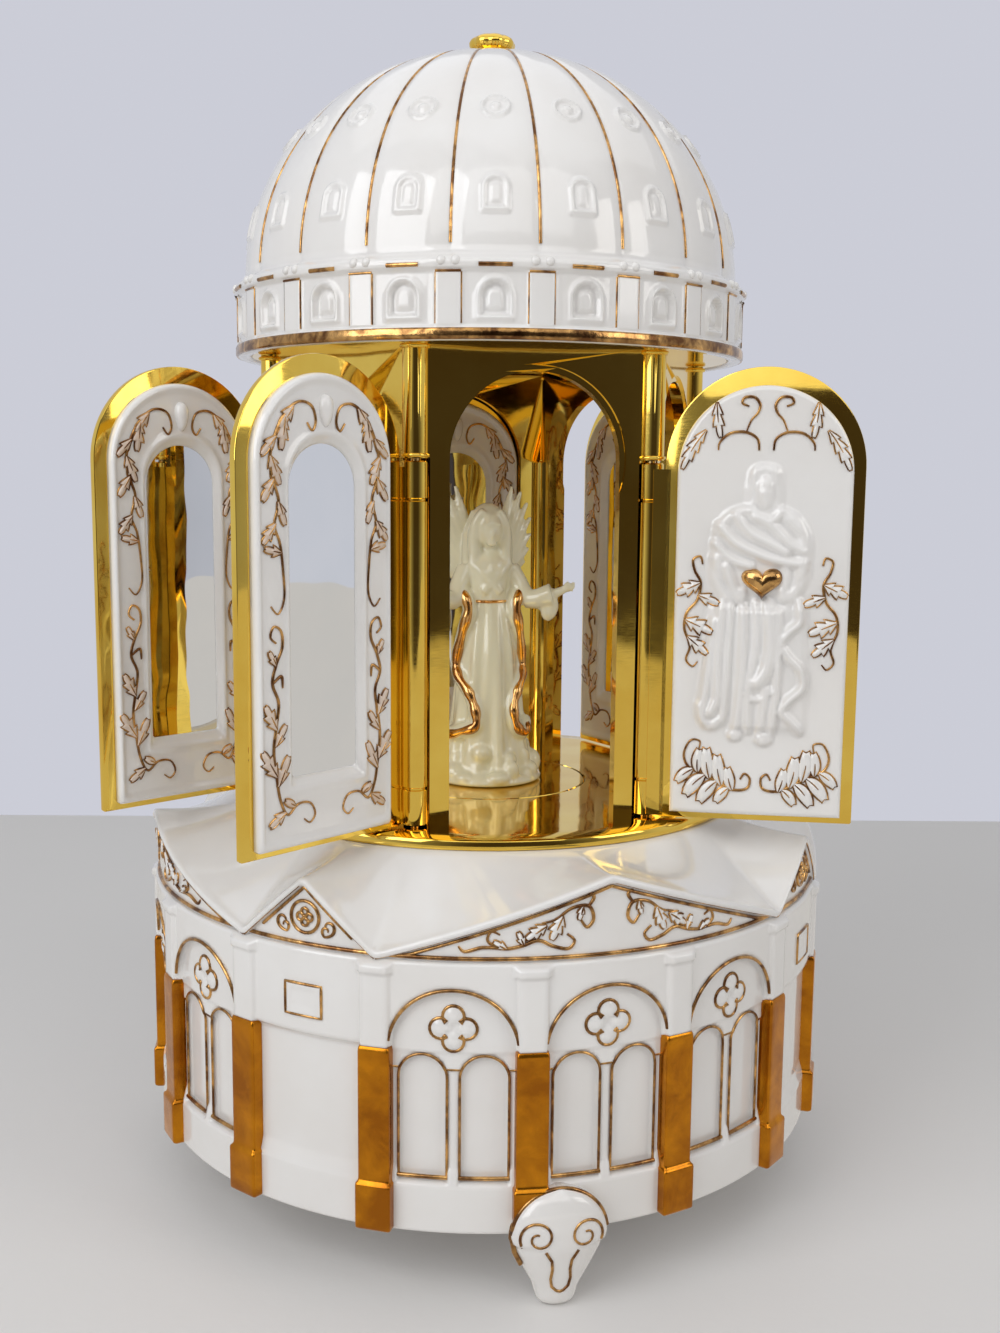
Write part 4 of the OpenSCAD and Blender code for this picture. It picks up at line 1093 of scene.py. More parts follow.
def plaque_face(x, z):
    """How far the outer plaque stands out of the gilt panel."""
    u = x - PANEL_MID
    inset = np.where(z < PLAQUE_SPRING, np.minimum(PLAQUE_HALF - np.abs(u), z - PLAQUE_FOOT),
                     PLAQUE_HALF - np.hypot(u, z - PLAQUE_SPRING))
    edge = np.clip(inset / 1.1, 0, 1)
    body = PLAQUE_T * (0.42 + 0.58 * np.sqrt(np.clip(1 - (1 - edge) ** 2, 0, 1)))
    field = 0.22 * np.cos(np.clip(np.abs(u) / PLAQUE_HALF, 0, 1) * math.pi / 2)
    return body + field + robed_figure(u, z)


def door_plaque_relief():
    """The outer plaque as a relief grid, closest where its rim rounds over."""
    squeeze = 0.43 * math.pi
    across = np.sin(np.linspace(-squeeze, squeeze, 92)) / math.sin(squeeze)
    head = np.concatenate([np.arange(0, 80, 1.4), [81, 83, 85, 86.6, 88]])
    heights = np.concatenate([PLAQUE_FOOT + np.array([0, 0.12, 0.3, 0.55, 0.85]),
                              np.arange(PLAQUE_FOOT + 1.2, PLAQUE_SPRING, 0.42),
                              PLAQUE_SPRING + PLAQUE_HALF * np.sin(np.radians(head))])
    round_half = np.sqrt(np.maximum(PLAQUE_HALF ** 2 - (heights - PLAQUE_SPRING) ** 2, 0.01))
    half = np.where(heights < PLAQUE_SPRING, PLAQUE_HALF, round_half)
    x = PANEL_MID + across[None, :] * half[:, None]
    z = np.broadcast_to(heights[:, None], x.shape)
    face = np.stack([x, PANEL_BACK - plaque_face(x, z), z], -1)
    return mesh_of("door_plaque", *pillow(face, PANEL_BACK + 0.05))


def pillow(face, back_y):
    """Closes a relief grid with a skirt and a flat back at a depth y."""
    rows, columns = face.shape[:2]
    points = face.reshape(-1, 3)
    faces = []
    j = np.arange(columns - 1)
    for i in range(rows - 1):
        a = i * columns + j
        faces += np.stack([a, a + 1, a + columns + 1, a + columns], -1).tolist()
    border = ([j for j in range(columns)] + [i * columns + columns - 1 for i in range(1, rows)]
              + [(rows - 1) * columns + j for j in range(columns - 2, -1, -1)]
              + [i * columns for i in range(rows - 2, 0, -1)])
    skirt = points[border].copy()
    skirt[:, 1] = back_y
    first, count = len(points), len(border)
    for n in range(count):
        m = (n + 1) % count
        faces.append([border[m], border[n], first + n, first + m])
    faces.append([first + n for n in range(count)][::-1])
    return np.concatenate([points, skirt]), faces


def on_plaque(path, lift=0.0):
    """Places (across, up) on the outer plaque's relief."""
    path = np.asarray(path, float)
    x, z = PANEL_MID + path[..., 0], path[..., 1]
    return np.stack([x, PANEL_BACK - plaque_face(x, z) - lift, z], -1)


PLAQUE_STEMS = [
    [(3.6, 169.3), (4.9, 169.9), (4.4, 171.0), (2.6, 171.0), (1.5, 169.6), (1.9, 168.0), (3.1, 166.6),
     (4.0, 164.3)],
    [(1.4, 160.8), (1.8, 163.0), (4.0, 164.3), (7.0, 164.1), (9.0, 162.4), (9.3, 160.8)],
    [(11.7, 138.4), (12.2, 139.9), (13.6, 139.2), (13.2, 137.0), (12.0, 134.6), (12.6, 131.2),
     (14.6, 128.6), (15.0, 125.4), (13.8, 122.0), (14.5, 119.2), (13.2, 117.8), (12.2, 118.8)],
    [(3.0, 95.0), (2.2, 96.2), (1.1, 95.2), (1.6, 93.2), (4.4, 92.8), (7.6, 94.2), (10.6, 95.8),
     (13.4, 97.2), (14.4, 99.8), (13.2, 102.6), (11.3, 102.6), (11.4, 100.9)],
]
PLAQUE_LEAVES = [
    ((9.8, 170.0), -92, 6.6, 3, 0.2, -10),
    ((11.8, 164.6), -50, 8.6, 4, 0.17, -18),
    ((12.1, 134.6), -26, 4.9, 3, 0.36),
    ((12.4, 132.2), 202, 4.2, 2, 0.34),
    ((14.8, 127.2), 204, 5.6, 3, 0.36),
    ((14.3, 123.8), 220, 5.0, 3, 0.34),
    ((4.6, 92.8), 66, 4.4, 1, 0.27, 20),
    ((6.8, 93.8), 70, 5.8, 1, 0.25, 20),
    ((9.2, 95.1), 72, 5.8, 1, 0.25, 20),
    ((11.6, 96.3), 82, 4.4, 1, 0.26, 20),
    ((5.4, 93.1), -34, 3.6, 1, 0.30, -30),
    ((7.8, 94.4), -36, 5.2, 1, 0.27, -30),
    ((10.2, 95.6), -32, 5.4, 1, 0.27, -30),
    ((12.6, 96.8), -24, 4.0, 1, 0.28, -30),
]


def door_plaque_ornament():
    """Vines and leaves of the outer plaque, and the heart on the figure's chest."""
    lines, bodies = [], []
    add_ornament(PLAQUE_STEMS, PLAQUE_LEAVES, on_plaque, 0.32, lines, bodies, 0.6)
    return lines, bodies, blister(heart_outline(0.0, 135.2, 4.1), 1.7, on_chest)


def on_chest(path, lift=0.0):
    """Places the heart on a level over the chest, so that it does not follow the folds."""
    path = np.asarray(path, float)
    level = np.full(path.shape[:-1], PANEL_BACK - PLAQUE_T - 1.0 - lift)
    return np.stack([PANEL_MID + path[..., 0], level, path[..., 1]], -1)


def heart_outline(x, z, size):
    t = np.linspace(0, 2 * math.pi, 40, endpoint=False)
    across = np.sin(t) ** 3
    up = (13 * np.cos(t) - 5 * np.cos(2 * t) - 2 * np.cos(3 * t) - np.cos(4 * t)) / 18.5
    return np.stack([x + size * across, z + size * up], -1)


LINING_CROSS = [(0.0, 0.0), (0.0, 0.45), (0.015, 0.75), (0.05, 0.98), (0.10, 1.0), (0.14, 0.86),
                (0.20, 0.84), (0.36, 0.88), (0.52, 0.9), (0.68, 0.88), (0.76, 0.86), (0.80, 0.98),
                (0.86, 0.98), (0.90, 0.80), (0.96, 0.55), (1.0, 0.42), (1.0, 0.0)]


def lining_loops(inset):
    """An outline between the lining's outer edge (0) and its window (1)."""
    outer = arch_loop(LINING_MID, LINING_HALF, PLAQUE_FOOT, DOOR_SPRING, 0.4)
    inner = arch_loop(LINING_MID, WINDOW_HALF, WINDOW_SILL, WINDOW_SPRING, 0.4)
    return outer + (inner - outer) * inset


def door_lining_frame():
    """The inner frame: a moulded section carried round from the rim to the mirror's window."""
    rings = [standing(lining_loops(s), PANEL_FACE + LINING_T * h + 0.02) for s, h in LINING_CROSS]
    return mesh_of("door_lining", *shell(rings))


def on_lining(path, lift=0.0):
    """Places (across, up) on the inner frame's face."""
    path = np.asarray(path, float)
    level = np.full(path.shape[:-1], PANEL_FACE + LINING_T * 0.9 + lift)
    return np.stack([LINING_MID + path[..., 0], level, path[..., 1]], -1)


LINING_STEMS = [
    [(4.4, 164.6), (3.2, 163.2), (2.4, 165.0), (3.4, 167.6), (6.2, 168.2), (9.0, 166.4), (11.4, 162.8),
     (12.8, 158.2), (12.0, 154.0), (11.0, 150.6), (12.0, 146.6), (10.8, 143.2), (10.2, 138.6),
     (10.0, 133.6), (11.4, 130.8), (13.0, 132.2)],
    [(12.0, 125.6), (13.2, 126.8), (12.4, 128.6), (10.8, 127.6), (10.6, 124.8), (12.0, 121.8),
     (12.9, 118.4), (11.6, 114.8), (12.2, 110.4), (12.8, 106.0), (12.2, 101.0), (11.4, 96.8),
     (9.8, 94.0), (7.4, 95.6), (4.6, 95.4), (3.4, 93.2), (4.6, 91.7), (6.0, 92.6)],
    [(12.8, 118.4), (10.9, 119.6), (10.6, 117.4)],
]
LINING_LEAVES = [((7.6, 167.4), -52, 4.6, 2, 0.32), ((9.6, 165.4), -82, 5.6, 3, 0.3),
                 ((11.6, 162.0), -46, 4.4, 2, 0.3), ((12.8, 158.6), -112, 5.2, 3, 0.3),
                 ((12.2, 154.6), -58, 4.4, 2, 0.32), ((11.2, 150.6), -110, 4.2, 2, 0.3),
                 ((11.9, 146.8), -52, 4.4, 3, 0.32), ((10.6, 141.6), 12, 3.6, 2, 0.34),
                 ((12.2, 121.6), 62, 2.8, 2, 0.34), ((12.2, 110.0), 62, 5.0, 3, 0.34),
                 ((12.5, 107.0), 124, 4.2, 2, 0.3), ((12.3, 101.4), 58, 5.6, 3, 0.34),
                 ((12.0, 99.6), 116, 5.6, 2, 0.28), ((10.4, 94.6), -34, 4.0, 2, 0.34),
                 ((8.2, 95.4), 30, 2.4, 1, 0.3)]


def door_lining_ornament():
    """Vines and leaves of the inner frame, and the drop at its crown."""
    turn = around(24)
    boss = np.stack([1.5 * np.sin(turn), 167.6 + 3.0 * np.cos(turn) * (1 - 0.25 * np.cos(turn))], -1)
    lines, bodies = [], []
    add_ornament(LINING_STEMS, LINING_LEAVES, on_lining, 0.3, lines, bodies, 0.55)
    return lines, bodies, [blister(boss, 1.3, on_lining)]


def door_mirror_glass():
    def rim(inset, y):
        half, sill = WINDOW_HALF + 1.25 - inset, WINDOW_SILL - 1.25 + inset
        return standing(arch_loop(LINING_MID, half, sill, WINDOW_SPRING, 0.3), y)

    rings = [rim(0, PANEL_FACE + 0.02), rim(0, PANEL_FACE + 0.6), rim(0.25, PANEL_FACE + 0.78)]
    return creased(mesh_of("door_mirror", *loft(rings)))


def doors():
    """Makes one door's pieces, then sets a copy of each at every hinge."""
    plaque_lines, plaque_leaves, heart = door_plaque_ornament()
    lining_lines, lining_leaves, bosses = door_lining_ornament()
    plaque_gold = drawn("plaque_lines", plaque_lines, "line_gold", 6)
    lining_gold = drawn("lining_lines", lining_lines, "line_gold", 6)
    plaque_leaves = mesh_of("plaque_leaves", *together(plaque_leaves))
    lining_leaves = mesh_of("lining_leaves", *together(lining_leaves))
    bosses = mesh_of("lining_bosses", *together(bosses))
    pieces = [(door_leaf(), "leaf", "gilt", "gilt", "panel"),
              (door_plaque_relief(), "plaque", "porcelain", "porcelain", "plaque"),
              (plaque_gold, "plaque_gold", "line_gold", "gilt_lustre", None),
              (plaque_leaves, "plaque_leaves", "porcelain", "porcelain", None),
              (mesh_of("plaque_heart", *heart), "plaque_heart", "line_gold", "gilt_lustre", None),
              (door_lining_frame(), "frame", "porcelain", "porcelain", "lining"),
              (bosses, "frame_boss", "porcelain", "porcelain", None),
              (lining_gold, "frame_gold", "line_gold", "gilt_lustre", None),
              (lining_leaves, "frame_leaves", "leaf_wash", "porcelain", None),
              (door_mirror_glass(), "mirror", "mirror", "mirror", "mirror")]
    for index, side in enumerate(DOOR_OPEN):
        hinge = door_matrix(index, side)
        for pattern, part, material, slot, node in pieces:
            copy = bpy.data.objects.new(f"{side}_door_{part}", pattern.data.copy())
            copy.data.transform(hinge)
            bpy.context.scene.collection.objects.link(copy)
            ready(copy, material, "door_" + side, slot, [f"door_{side}_{node}"] if node else ())
    for piece in pieces:
        bpy.data.objects.remove(piece[0])


# ---- Dome ----


ARC_R = 51.0
WINDOW_HALF_X = 2.3
WINDOW_SILL_Y = -3.3
WINDOW_SPRING_Y = 1.1


def arched_gap(x, y, half, foot, spring):
    """Distance outside a round-headed window."""
    return np.where(y < spring, np.maximum(np.abs(x) - half, foot - y), np.hypot(x, y - spring) - half)


def gore_relief(x_deg, arc_deg):
    """Height over the dome of a gore's low reliefs; arc_deg counts up from the spring line."""
    x = np.radians(x_deg) * DOME_R * np.cos(np.radians(arc_deg))
    up = np.radians(arc_deg - WINDOW_ARC) * ARC_R
    gap = arched_gap(x, up, WINDOW_HALF_X, WINDOW_SILL_Y, WINDOW_SPRING_Y)
    window = 0.55 * (1 - ramp(np.abs(gap + 0.1) - 0.42, 0.55)) + 0.3 * (1 - ramp(gap + 1.35, 0.7))
    eye = np.hypot(x, np.radians(arc_deg - OCULUS_ARC) * ARC_R)
    oculus = 0.6 * (1 - ramp(np.abs(eye - 2.55) - 0.25, 0.5)) + 0.5 * (1 - ramp(eye - 0.95, 0.5))
    return window + oculus


DRUM_PROFILE_Z = [180.3, 180.6, 181.0, 182.5, 182.8, 183.2, 192.6, 193.0, 193.6, 194.9, 195.4, 196.0]
DRUM_PROFILE_R = [55.2, 55.65, 55.8, 55.8, 55.5, 55.1, 55.1, 55.4, 55.9, 55.9, 55.2, 54.0]


def drum_face(x_deg, z):
    """Radius of the drum at an angle from a window's middle."""
    r = np.interp(z, DRUM_PROFILE_Z, DRUM_PROFILE_R)
    x = np.radians(x_deg) * DRUM_R
    gap = arched_gap(x, z, 3.1, 184.4, 188.3)
    frame_line = 0.55 * (1 - ramp(np.abs(gap) - 0.45, 0.5))
    sunk = -0.7 * (1 - ramp(gap + 0.5, 0.6))
    inner = 0.5 * (1 - ramp(gap + 1.7, 0.6))
    strip = 0.55 * ramp(np.abs(x) - 6.2, 0.7) * ramp(z - 183.0, 0.4) * (1 - ramp(z - 192.8, 0.4))
    return r + frame_line + sunk + inner + strip


DOME_IN_R = 52.7
GORE_DEG = 360 / RIBS
GORE_PLAIN_DEG = np.array([4.9, 5.8, 6.35, 6.6, 6.9, 7.2, 7.8, 8.4])
DOME_ARCS = [(0.6, 8, 1.6), (8, 19, 0.55), (19, 31, 2.0), (31, 39.4, 0.53), (39.4, 80, 2.4)]
CROWN_ARCS = [81.5, 83.5, 85.5, 87.2, 88.3]


def dome_shell():
    """Drum and dome in one shell: puffed gores, windows and oculi outside, plain inside."""
    gore_deg = np.concatenate([[-GORE_DEG / 2], -GORE_PLAIN_DEG[::-1], np.linspace(-4, 4, 21),
                               GORE_PLAIN_DEG])
    angles = np.concatenate([DOME_TURN + k * GORE_DEG + gore_deg for k in range(RIBS)])
    across = np.tile(gore_deg, RIBS)
    rings = [round_axis(drum_face(across, z), angles, z)
             for z in stations(DRUM_Z, 195.7, 0.5, [183, 184.4, 192.8, 193.5], 0.2)]
    share = np.abs(across) / (GORE_DEG / 2)
    for arc_deg in np.concatenate([*[np.arange(*span) for span in DOME_ARCS], CROWN_ARCS]):
        a = math.radians(arc_deg)
        puff = 0.62 * (1 - share ** 4) * np.clip(math.cos(a) * 1.6, 0, 1) - 0.35
        lift = puff + gore_relief(across, arc_deg) * np.clip(math.cos(a) * 3, 0, 1)
        r = np.maximum((DOME_R + lift) * math.cos(a), ROD_R + 0.05)
        rings.append(round_axis(r, angles, DOME_Z + (DOME_RISE + lift) * math.sin(a)))
    rings.append(round_axis(ROD_R, angles, CROWN_Z - 0.35))
    for a in np.radians((90, 80, 62, 44, 24, 3)):
        r = max((DOME_R - DOME_T) * math.cos(a), ROD_R)
        rings.append(round_axis(r, angles, DOME_Z + (DOME_RISE - DOME_T) * math.sin(a)))
    for r, z in ((DOME_IN_R, DOME_Z - 0.4), (DOME_IN_R, DRUM_Z + 0.3), (DOME_IN_R + 0.3, DRUM_Z)):
        rings.append(round_axis(r, angles, z))
    made = mesh_of("dome_shell", *shell(rings))
    return ready(made, "porcelain", "base", "porcelain", ["dome"])


def dome_gold():
    """One gore's rib line, window dash, strip lines and band, set round the dome."""
    edge = GORE_DEG / 2
    rise = np.radians(np.linspace(2.5, 86.5, 60))
    rib_wide = 0.34 * np.interp(np.degrees(rise), [0, 60, 90], [1.0, 0.9, 0.55])
    rib = round_axis((DOME_R - 0.32) * np.cos(rise), edge, DOME_Z + (DOME_RISE - 0.32) * np.sin(rise))
    cap = round_axis(55.62, np.linspace(edge - 2.5, edge + 2.5, 6), 192.75)
    lines = [(rib, rib_wide, False), (round_axis(55.88, np.linspace(-3.2, 3.2, 12), 193.9), 0.42, False)]
    for s in (-1, 1):
        lines.append((round_axis(55.35, edge + s * 2.45, np.linspace(183.3, 192.6, 10)), 0.25, False))
    lines.append((cap, 0.26, False))
    made = drawn("dome_gold_lines", lines, "line_gold")
    ring_of(made, RIBS, DOME_TURN, GORE_DEG, "line_gold")
    ready(made, "line_gold", "base", "gilt_lustre")
    profile = [(55.3, 180.42), (55.75, 180.5), (55.9, 180.8), (55.92, 181.4), (55.9, 182.2), (55.75, 182.55),
               (55.3, 182.62)]
    ready(mesh_of("dome_foot_band", *shell(lathe(profile, 240))), "line_gold", "base", "gilt_lustre")


def cornice_knobs():
    """Small paired knobs under each rib."""
    turn = around(14)
    parts = []
    for s in (-1, 1):
        rings = []
        for wide, out in ((0.9, 0), (1.0, 0.35), (0.95, 0.7), (0.7, 0.9), (0.3, 1.0)):
            round_knob = arc(s * 1.35, 194.6, 0.95 * wide, turn)
            depth = np.full(14, -(54.6 + 1.75 * out))
            rings.append(np.stack([round_knob[:, 0], depth, round_knob[:, 1]], -1))
        parts.append(loft(rings))
    made = mesh_of("cornice_knobs", *together(parts))
    ring_of(made, RIBS, DOME_TURN + 180 / RIBS, GORE_DEG, "porcelain")
    return ready(made, "porcelain", "base", "porcelain")


def finial_knob():
    """A lobed gilt bud on a collar."""
    profile = [(0.02, -0.2), (4.2, -0.2), (4.35, 0.05), (4.3, 0.35), (3.6, 0.6), (2.9, 0.95),
               (3.1, 1.25), (4.3, 1.6), (4.85, 2.2), (4.95, 2.9), (4.6, 3.6), (3.7, 4.2), (2.6, 4.45),
               (1.9, 4.35), (1.2, 4.5), (0.6, 4.75), (0.02, 4.8)]
    angles = np.arange(96) * 3.75
    lobe = 0.065 * (np.abs(np.cos(np.radians(angles * 4))) - 0.6)
    rings = []
    for r, z in profile:
        lobed = np.clip((z - 1.0) / 0.8, 0, 1) * (r > 0.7)
        rings.append(round_axis(r * (1 + lobed * lobe), angles, CROWN_Z + z))
    return ready(mesh_of("finial_knob", *loft(rings)), "gilt", "base", "gilt", ["finial"])


# ---- Figure ----


def joined_body(name, forms, voxel):
    """Fuses overlapping closed forms into one skin."""
    made = mesh_of(name, *together(forms))
    fuse = made.modifiers.new("fuse", "REMESH")
    fuse.mode, fuse.voxel_size, fuse.use_smooth_shade = "VOXEL", voxel * MM, True
    even = made.modifiers.new("even", "SMOOTH")
    even.factor, even.iterations = 0.5, 3
    finished_mesh(made)
    return made


ABOVE_DECK = np.array([0, 0, DECK_Z])


def oval(at, radii, tilt=(0, 0, 0), rows=12, columns=20):
    """A closed egg shape above the deck, tilted by degrees about X, Y and Z."""
    turn = np.radians(np.arange(columns) * 360 / columns)
    rings = []
    for lat in np.radians(np.linspace(-86, 86, rows)):
        ring = [np.cos(lat) * np.cos(turn), np.cos(lat) * np.sin(turn), np.full(columns, np.sin(lat))]
        rings.append(np.stack(ring, -1))
    points, faces = loft(rings)
    about_x, about_y, about_z = (Matrix.Rotation(math.radians(t), 3, axis) for t, axis in zip(tilt, "XYZ"))
    spin = np.array(about_z @ about_y @ about_x)
    return (points * np.array(radii)) @ spin.T + np.array(at) + ABOVE_DECK, faces


def limb(path, radii, steps=16):
    """A closed tapering tube through points above the deck."""
    path = np.asarray(path, float) + ABOVE_DECK
    knots = np.arange(len(path))
    t = np.linspace(0, len(path) - 1, 4 * len(path))
    fine = np.stack([np.interp(t, knots, path[:, c]) for c in range(3)], -1)
    wide = np.interp(t, knots, radii)
    fine[1:-1] = (fine[:-2] + fine[1:-1] * 2 + fine[2:]) / 4
    a = np.radians(np.arange(steps) * 360 / steps)[:, None]
    rings = []
    for i, centre in enumerate(fine):
        way = Vector(fine[min(i + 1, len(fine) - 1)] - fine[max(i - 1, 0)]).normalized()
        side = way.cross(Vector((0.1, 0.3, 0.95))).normalized()
        other = way.cross(side)
        rings.append(centre + wide[i] * (np.cos(a) * np.array(side) + np.sin(a) * np.array(other)))
    return loft(rings)


def robe_radius(deg, h):
    """Radius of the gown at a height above the deck; folds deepen towards the hem."""
    mean = np.interp(h, [0, 4, 10, 16, 22, 28, 34, 39, 41.5, 44, 48, 50.5, 52.5],
                     [10.4, 9.9, 8.6, 7.9, 7.3, 6.9, 6.2, 5.2, 4.7, 5.0, 5.6, 4.6, 2.6])
    a = np.radians(deg)
    deep = np.interp(h, [0, 12, 30, 41, 52], [0.95, 0.8, 0.5, 0.16, 0.1])
    folds = deep * (0.6 * np.sin(9 * a + h * 0.05) + 0.4 * np.sin(15 * a - h * 0.09 + 1.2))
    flat = 1 - 0.12 * np.abs(np.cos(a)) * np.interp(h, [30, 48], [0, 1])
    return (mean + folds) * flat


FIGURE_TURNS = np.arange(96) * 3.75
BELT_H = 41.4
CLOAK_EDGE = [(8.0, 45.6), (6.6, 43.4), (5.6, 39.8), (6.6, 34.8), (7.6, 28.2), (7.4, 24.4), (5.6, 21.0),
              (4.5, 17.4)]
CLOAK_TAIL = {
    -1: [(4.5, 13.6), (7.8, 11.8), (10.6, 9.6), (11.4, 4.6)],
    1: [(5.2, 13.4), (7.4, 11.4), (8.9, 13.4)],
}


def cloak_edge(side):
    """The front edge of the cloak on one side, laid over the gown, above the deck."""
    path = flowing(CLOAK_EDGE + CLOAK_TAIL[side], 10)
    reach = np.interp(path[:, 1], [0, 6, 12, 20, 30, 46], [11.8, 10.6, 9.4, 8.3, 7.7, 7.2])
    front = np.sqrt(np.maximum(reach ** 2 - path[:, 0] ** 2, 2.6))
    return np.stack([side * path[:, 0], -front, path[:, 1]], -1)


def figure_turned(profile):
    """A closed form turned about the axis from (radius or radii, height above the deck) pairs."""
    return loft([round_axis(r, FIGURE_TURNS, DECK_Z + h) for r, h in profile])


def figure_bust():
    """Gown, shoulders, crossing drapery and neck."""
    heights = np.concatenate([[0.0], np.linspace(1.0, 52.5, 60)])
    forms = [figure_turned([(robe_radius(FIGURE_TURNS, h), h) for h in heights]),
             oval((0, 0.4, 47.6), (5.9, 3.6, 3.6))]
    for s in (-1, 1):
        forms.append(limb([(s * 4.4, -1.6, 50.2), (s * 1.6, -3.7, 47.6), (-s * 2.2, -4.0, 43.4)],
                          [1.2, 1.35, 1.0]))
    forms.append(limb([(0, 0, 50), (0, -0.2, 54.5)], [2.3, 1.8]))
    return forms


def figure_head():
    """A plain bowed face, the hair on both sides of it and the veil behind."""
    forms = [oval((0, -1.2, 57.7), (3.1, 3.6, 4.3), (12, 0, 0), 18, 28),
             oval((0, -4.75, 56.9), (0.46, 0.6, 1.05), (-10, 0, 0), 8, 10),
             oval((0, -3.5, 54.6), (1.25, 1.1, 0.9), (0, 0, 0), 8, 12),
             oval((0, -4.3, 55.6), (0.95, 0.4, 0.25), (0, 0, 0), 8, 12)]
    for s in (-1, 1):
        forms += [oval((s * 1.15, -4.35, 58.9), (1.0, 0.45, 0.3), (0, s * 8, 0), 8, 12),
                  limb([(s * 1.6, -2.6, 62.0), (s * 3.2, -1.9, 59.4), (s * 3.7, -1.2, 56.0),
                        (s * 3.5, -1.4, 52.6), (s * 4.1, -2.0, 49.6)], [0.9, 1.3, 1.5, 1.5, 1.0]),
                  limb([(s * 2.4, 0.6, 61.4), (s * 4.2, 1.2, 56.6), (s * 4.4, 1.2, 51.0),
                        (s * 4.9, 1.6, 46.0)], [1.6, 1.7, 1.6, 1.0])]
    return forms + [oval((0, 0.7, 58.9), (4.2, 4.2, 4.7)), oval((0, 1.5, 53.0), (4.3, 2.9, 4.6))]


def figure_arm(s):
    """Upper arm, wide sleeve, hand with its fingers, and the cloak's edge on one side."""
    forms = [limb([(s * 5.0, 0.2, 48.8), (s * 7.2, -1.4, 44.6), (s * 8.4, -3.6, 41.6)], [2.3, 2.2, 1.9]),
             limb([(s * 8.0, -3.0, 41.6), (s * 11.0, -4.6, 42.0), (s * 13.8, -5.6, 42.8)], [2.0, 2.4, 2.9]),
             oval((s * 13.2, -5.4, 39.9), (2.0, 1.7, 3.1), (0, s * 14, 0)),
             limb([(s * 13.6, -5.6, 43.0), (s * 15.8, -6.4, 43.9)], [1.15, 1.0]),
             oval((s * 16.7, -6.7, 44.5), (1.5, 0.65, 1.05), (0, s * -24, s * -22))]
    for finger, lift in enumerate((0.75, 0.25, -0.25, -0.7)):
        tip = (s * (18.9 - 0.3 * abs(finger - 1)), -7.2, 44.9 + lift * 1.4)
        forms.append(limb([(s * 17.2, -6.8, 44.6 + lift), tip], [0.38, 0.26], 8))
    forms.append(limb([(s * 16.2, -6.9, 45.0), (s * 16.9, -7.6, 46.2)], [0.4, 0.3], 8))
    edge = cloak_edge(s)
    return forms + [limb(edge * [0.93, 1, 1] + [0, 1.1, 0], np.linspace(1.5, 1.9, len(edge)))]


def figure_cloud():
    """Rounded lumps round the hem, on a low disc."""
    rng = np.random.default_rng(7)
    forms = []
    for n in range(17):
        deg = n * 360 / 17 + rng.uniform(-6, 6)
        r = rng.uniform(9.2, 10.9)
        size = rng.uniform(1.9, 3.1)
        h = rng.uniform(1.4, 3.4)
        forms.append(oval(round_axis(r, deg, h), (size, size * 0.9, max(h * 0.9, 1.4)), (0, 0, deg)))
    for n in range(9):
        deg = n * 40 + 12 + rng.uniform(-8, 8)
        forms.append(oval(round_axis(8.4, deg, rng.uniform(4.5, 8.5)), (2.4, 2.2, 2.2), (0, 0, deg)))
    return forms + [figure_turned(((11.0, 0.0), (12.3, 0.15), (12.6, 0.9), (11.6, 2.2), (8.0, 3.0)))]


def figure_wing(s):
    """Eight long feathers that fan from a root behind the shoulder."""
    forms = []
    for n, reach in enumerate((22.5, 22.0, 20.5, 18.5, 16.0, 13.5, 11.0, 8.6)):
        lean = math.radians(6 + n * 9.5)
        c, q = math.cos(lean), math.sin(lean)
        bend = [(s * (2.6 + reach * t * (q * 0.62 + 0.12 * t)), 3.6 + 1.6 * t + n * 0.10, 45 + reach * t * c)
                for t in (0, 0.35, 0.7, 1)]
        forms.append(limb(bend, [1.3, 1.45, 1.25, 0.45], 10))
    return forms + [oval((s * 4.6, 4.4, 50.5), (1.9, 1.2, 5.4), (0, s * 22, 0))]


def angel():
    """The winged figure in one skin, flat on the turntable, with its bronze edges and belt."""
    forms = figure_bust() + figure_head() + figure_arm(-1) + figure_arm(1) + figure_cloud()
    made = joined_body("angel_figure", forms + figure_wing(-1) + figure_wing(1), 0.42)
    place = np.empty(len(made.data.vertices) * 3, np.float32)
    made.data.vertices.foreach_get("co", place)
    place[2::3] = np.maximum(place[2::3], DECK_Z * MM)
    made.data.vertices.foreach_set("co", place)
    made.data.update()
    ready(made, "figure_porcelain", "figure_turntable", "figure_porcelain", ["angel"])
    lines = []
    for s in (-1, 1):
        edge = cloak_edge(s) + ABOVE_DECK
        count = len(edge)
        wide = 1.1 + 0.14 * np.sin(np.arange(count) * 0.55)
        lines.append((edge, wide * np.interp(np.arange(count), [0, 4, count - 6, count],
                                             [0.8, 1, 1, 0.6]), False))
    belt = np.arange(0, 360, 6)
    lines.append((round_axis(robe_radius(belt, BELT_H) + 0.12, belt, DECK_Z + BELT_H), 0.34, True))
    edges = drawn("angel_gold_edges", lines, "figure_bronze", 10)
    ready(edges, "figure_bronze", "figure_turntable", "gilt_lustre")


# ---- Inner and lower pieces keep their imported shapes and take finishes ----

PLAIN_FINISHES = {"bottom_plate": "steel", "bottom_screws": "steel", "spindle_bush": "brass",
                  "hinge_pins": "brass", "ceiling_plate": "gilt", "tie_rod": "steel",
                  "bedplate": "brass", "movement_cocks": "brass", "comb": "steel",
                  "comb_screws": "steel", "spring_barrel": "brass", "barrel_lid": "brass",
                  "mainspring": "steel", "output_spindle": "steel", "winding_key": "brass",
                  "winding_arbor": "steel", "pinned_cylinder": "brass", "cylinder_train": "brass",
                  "governor": "steel"}


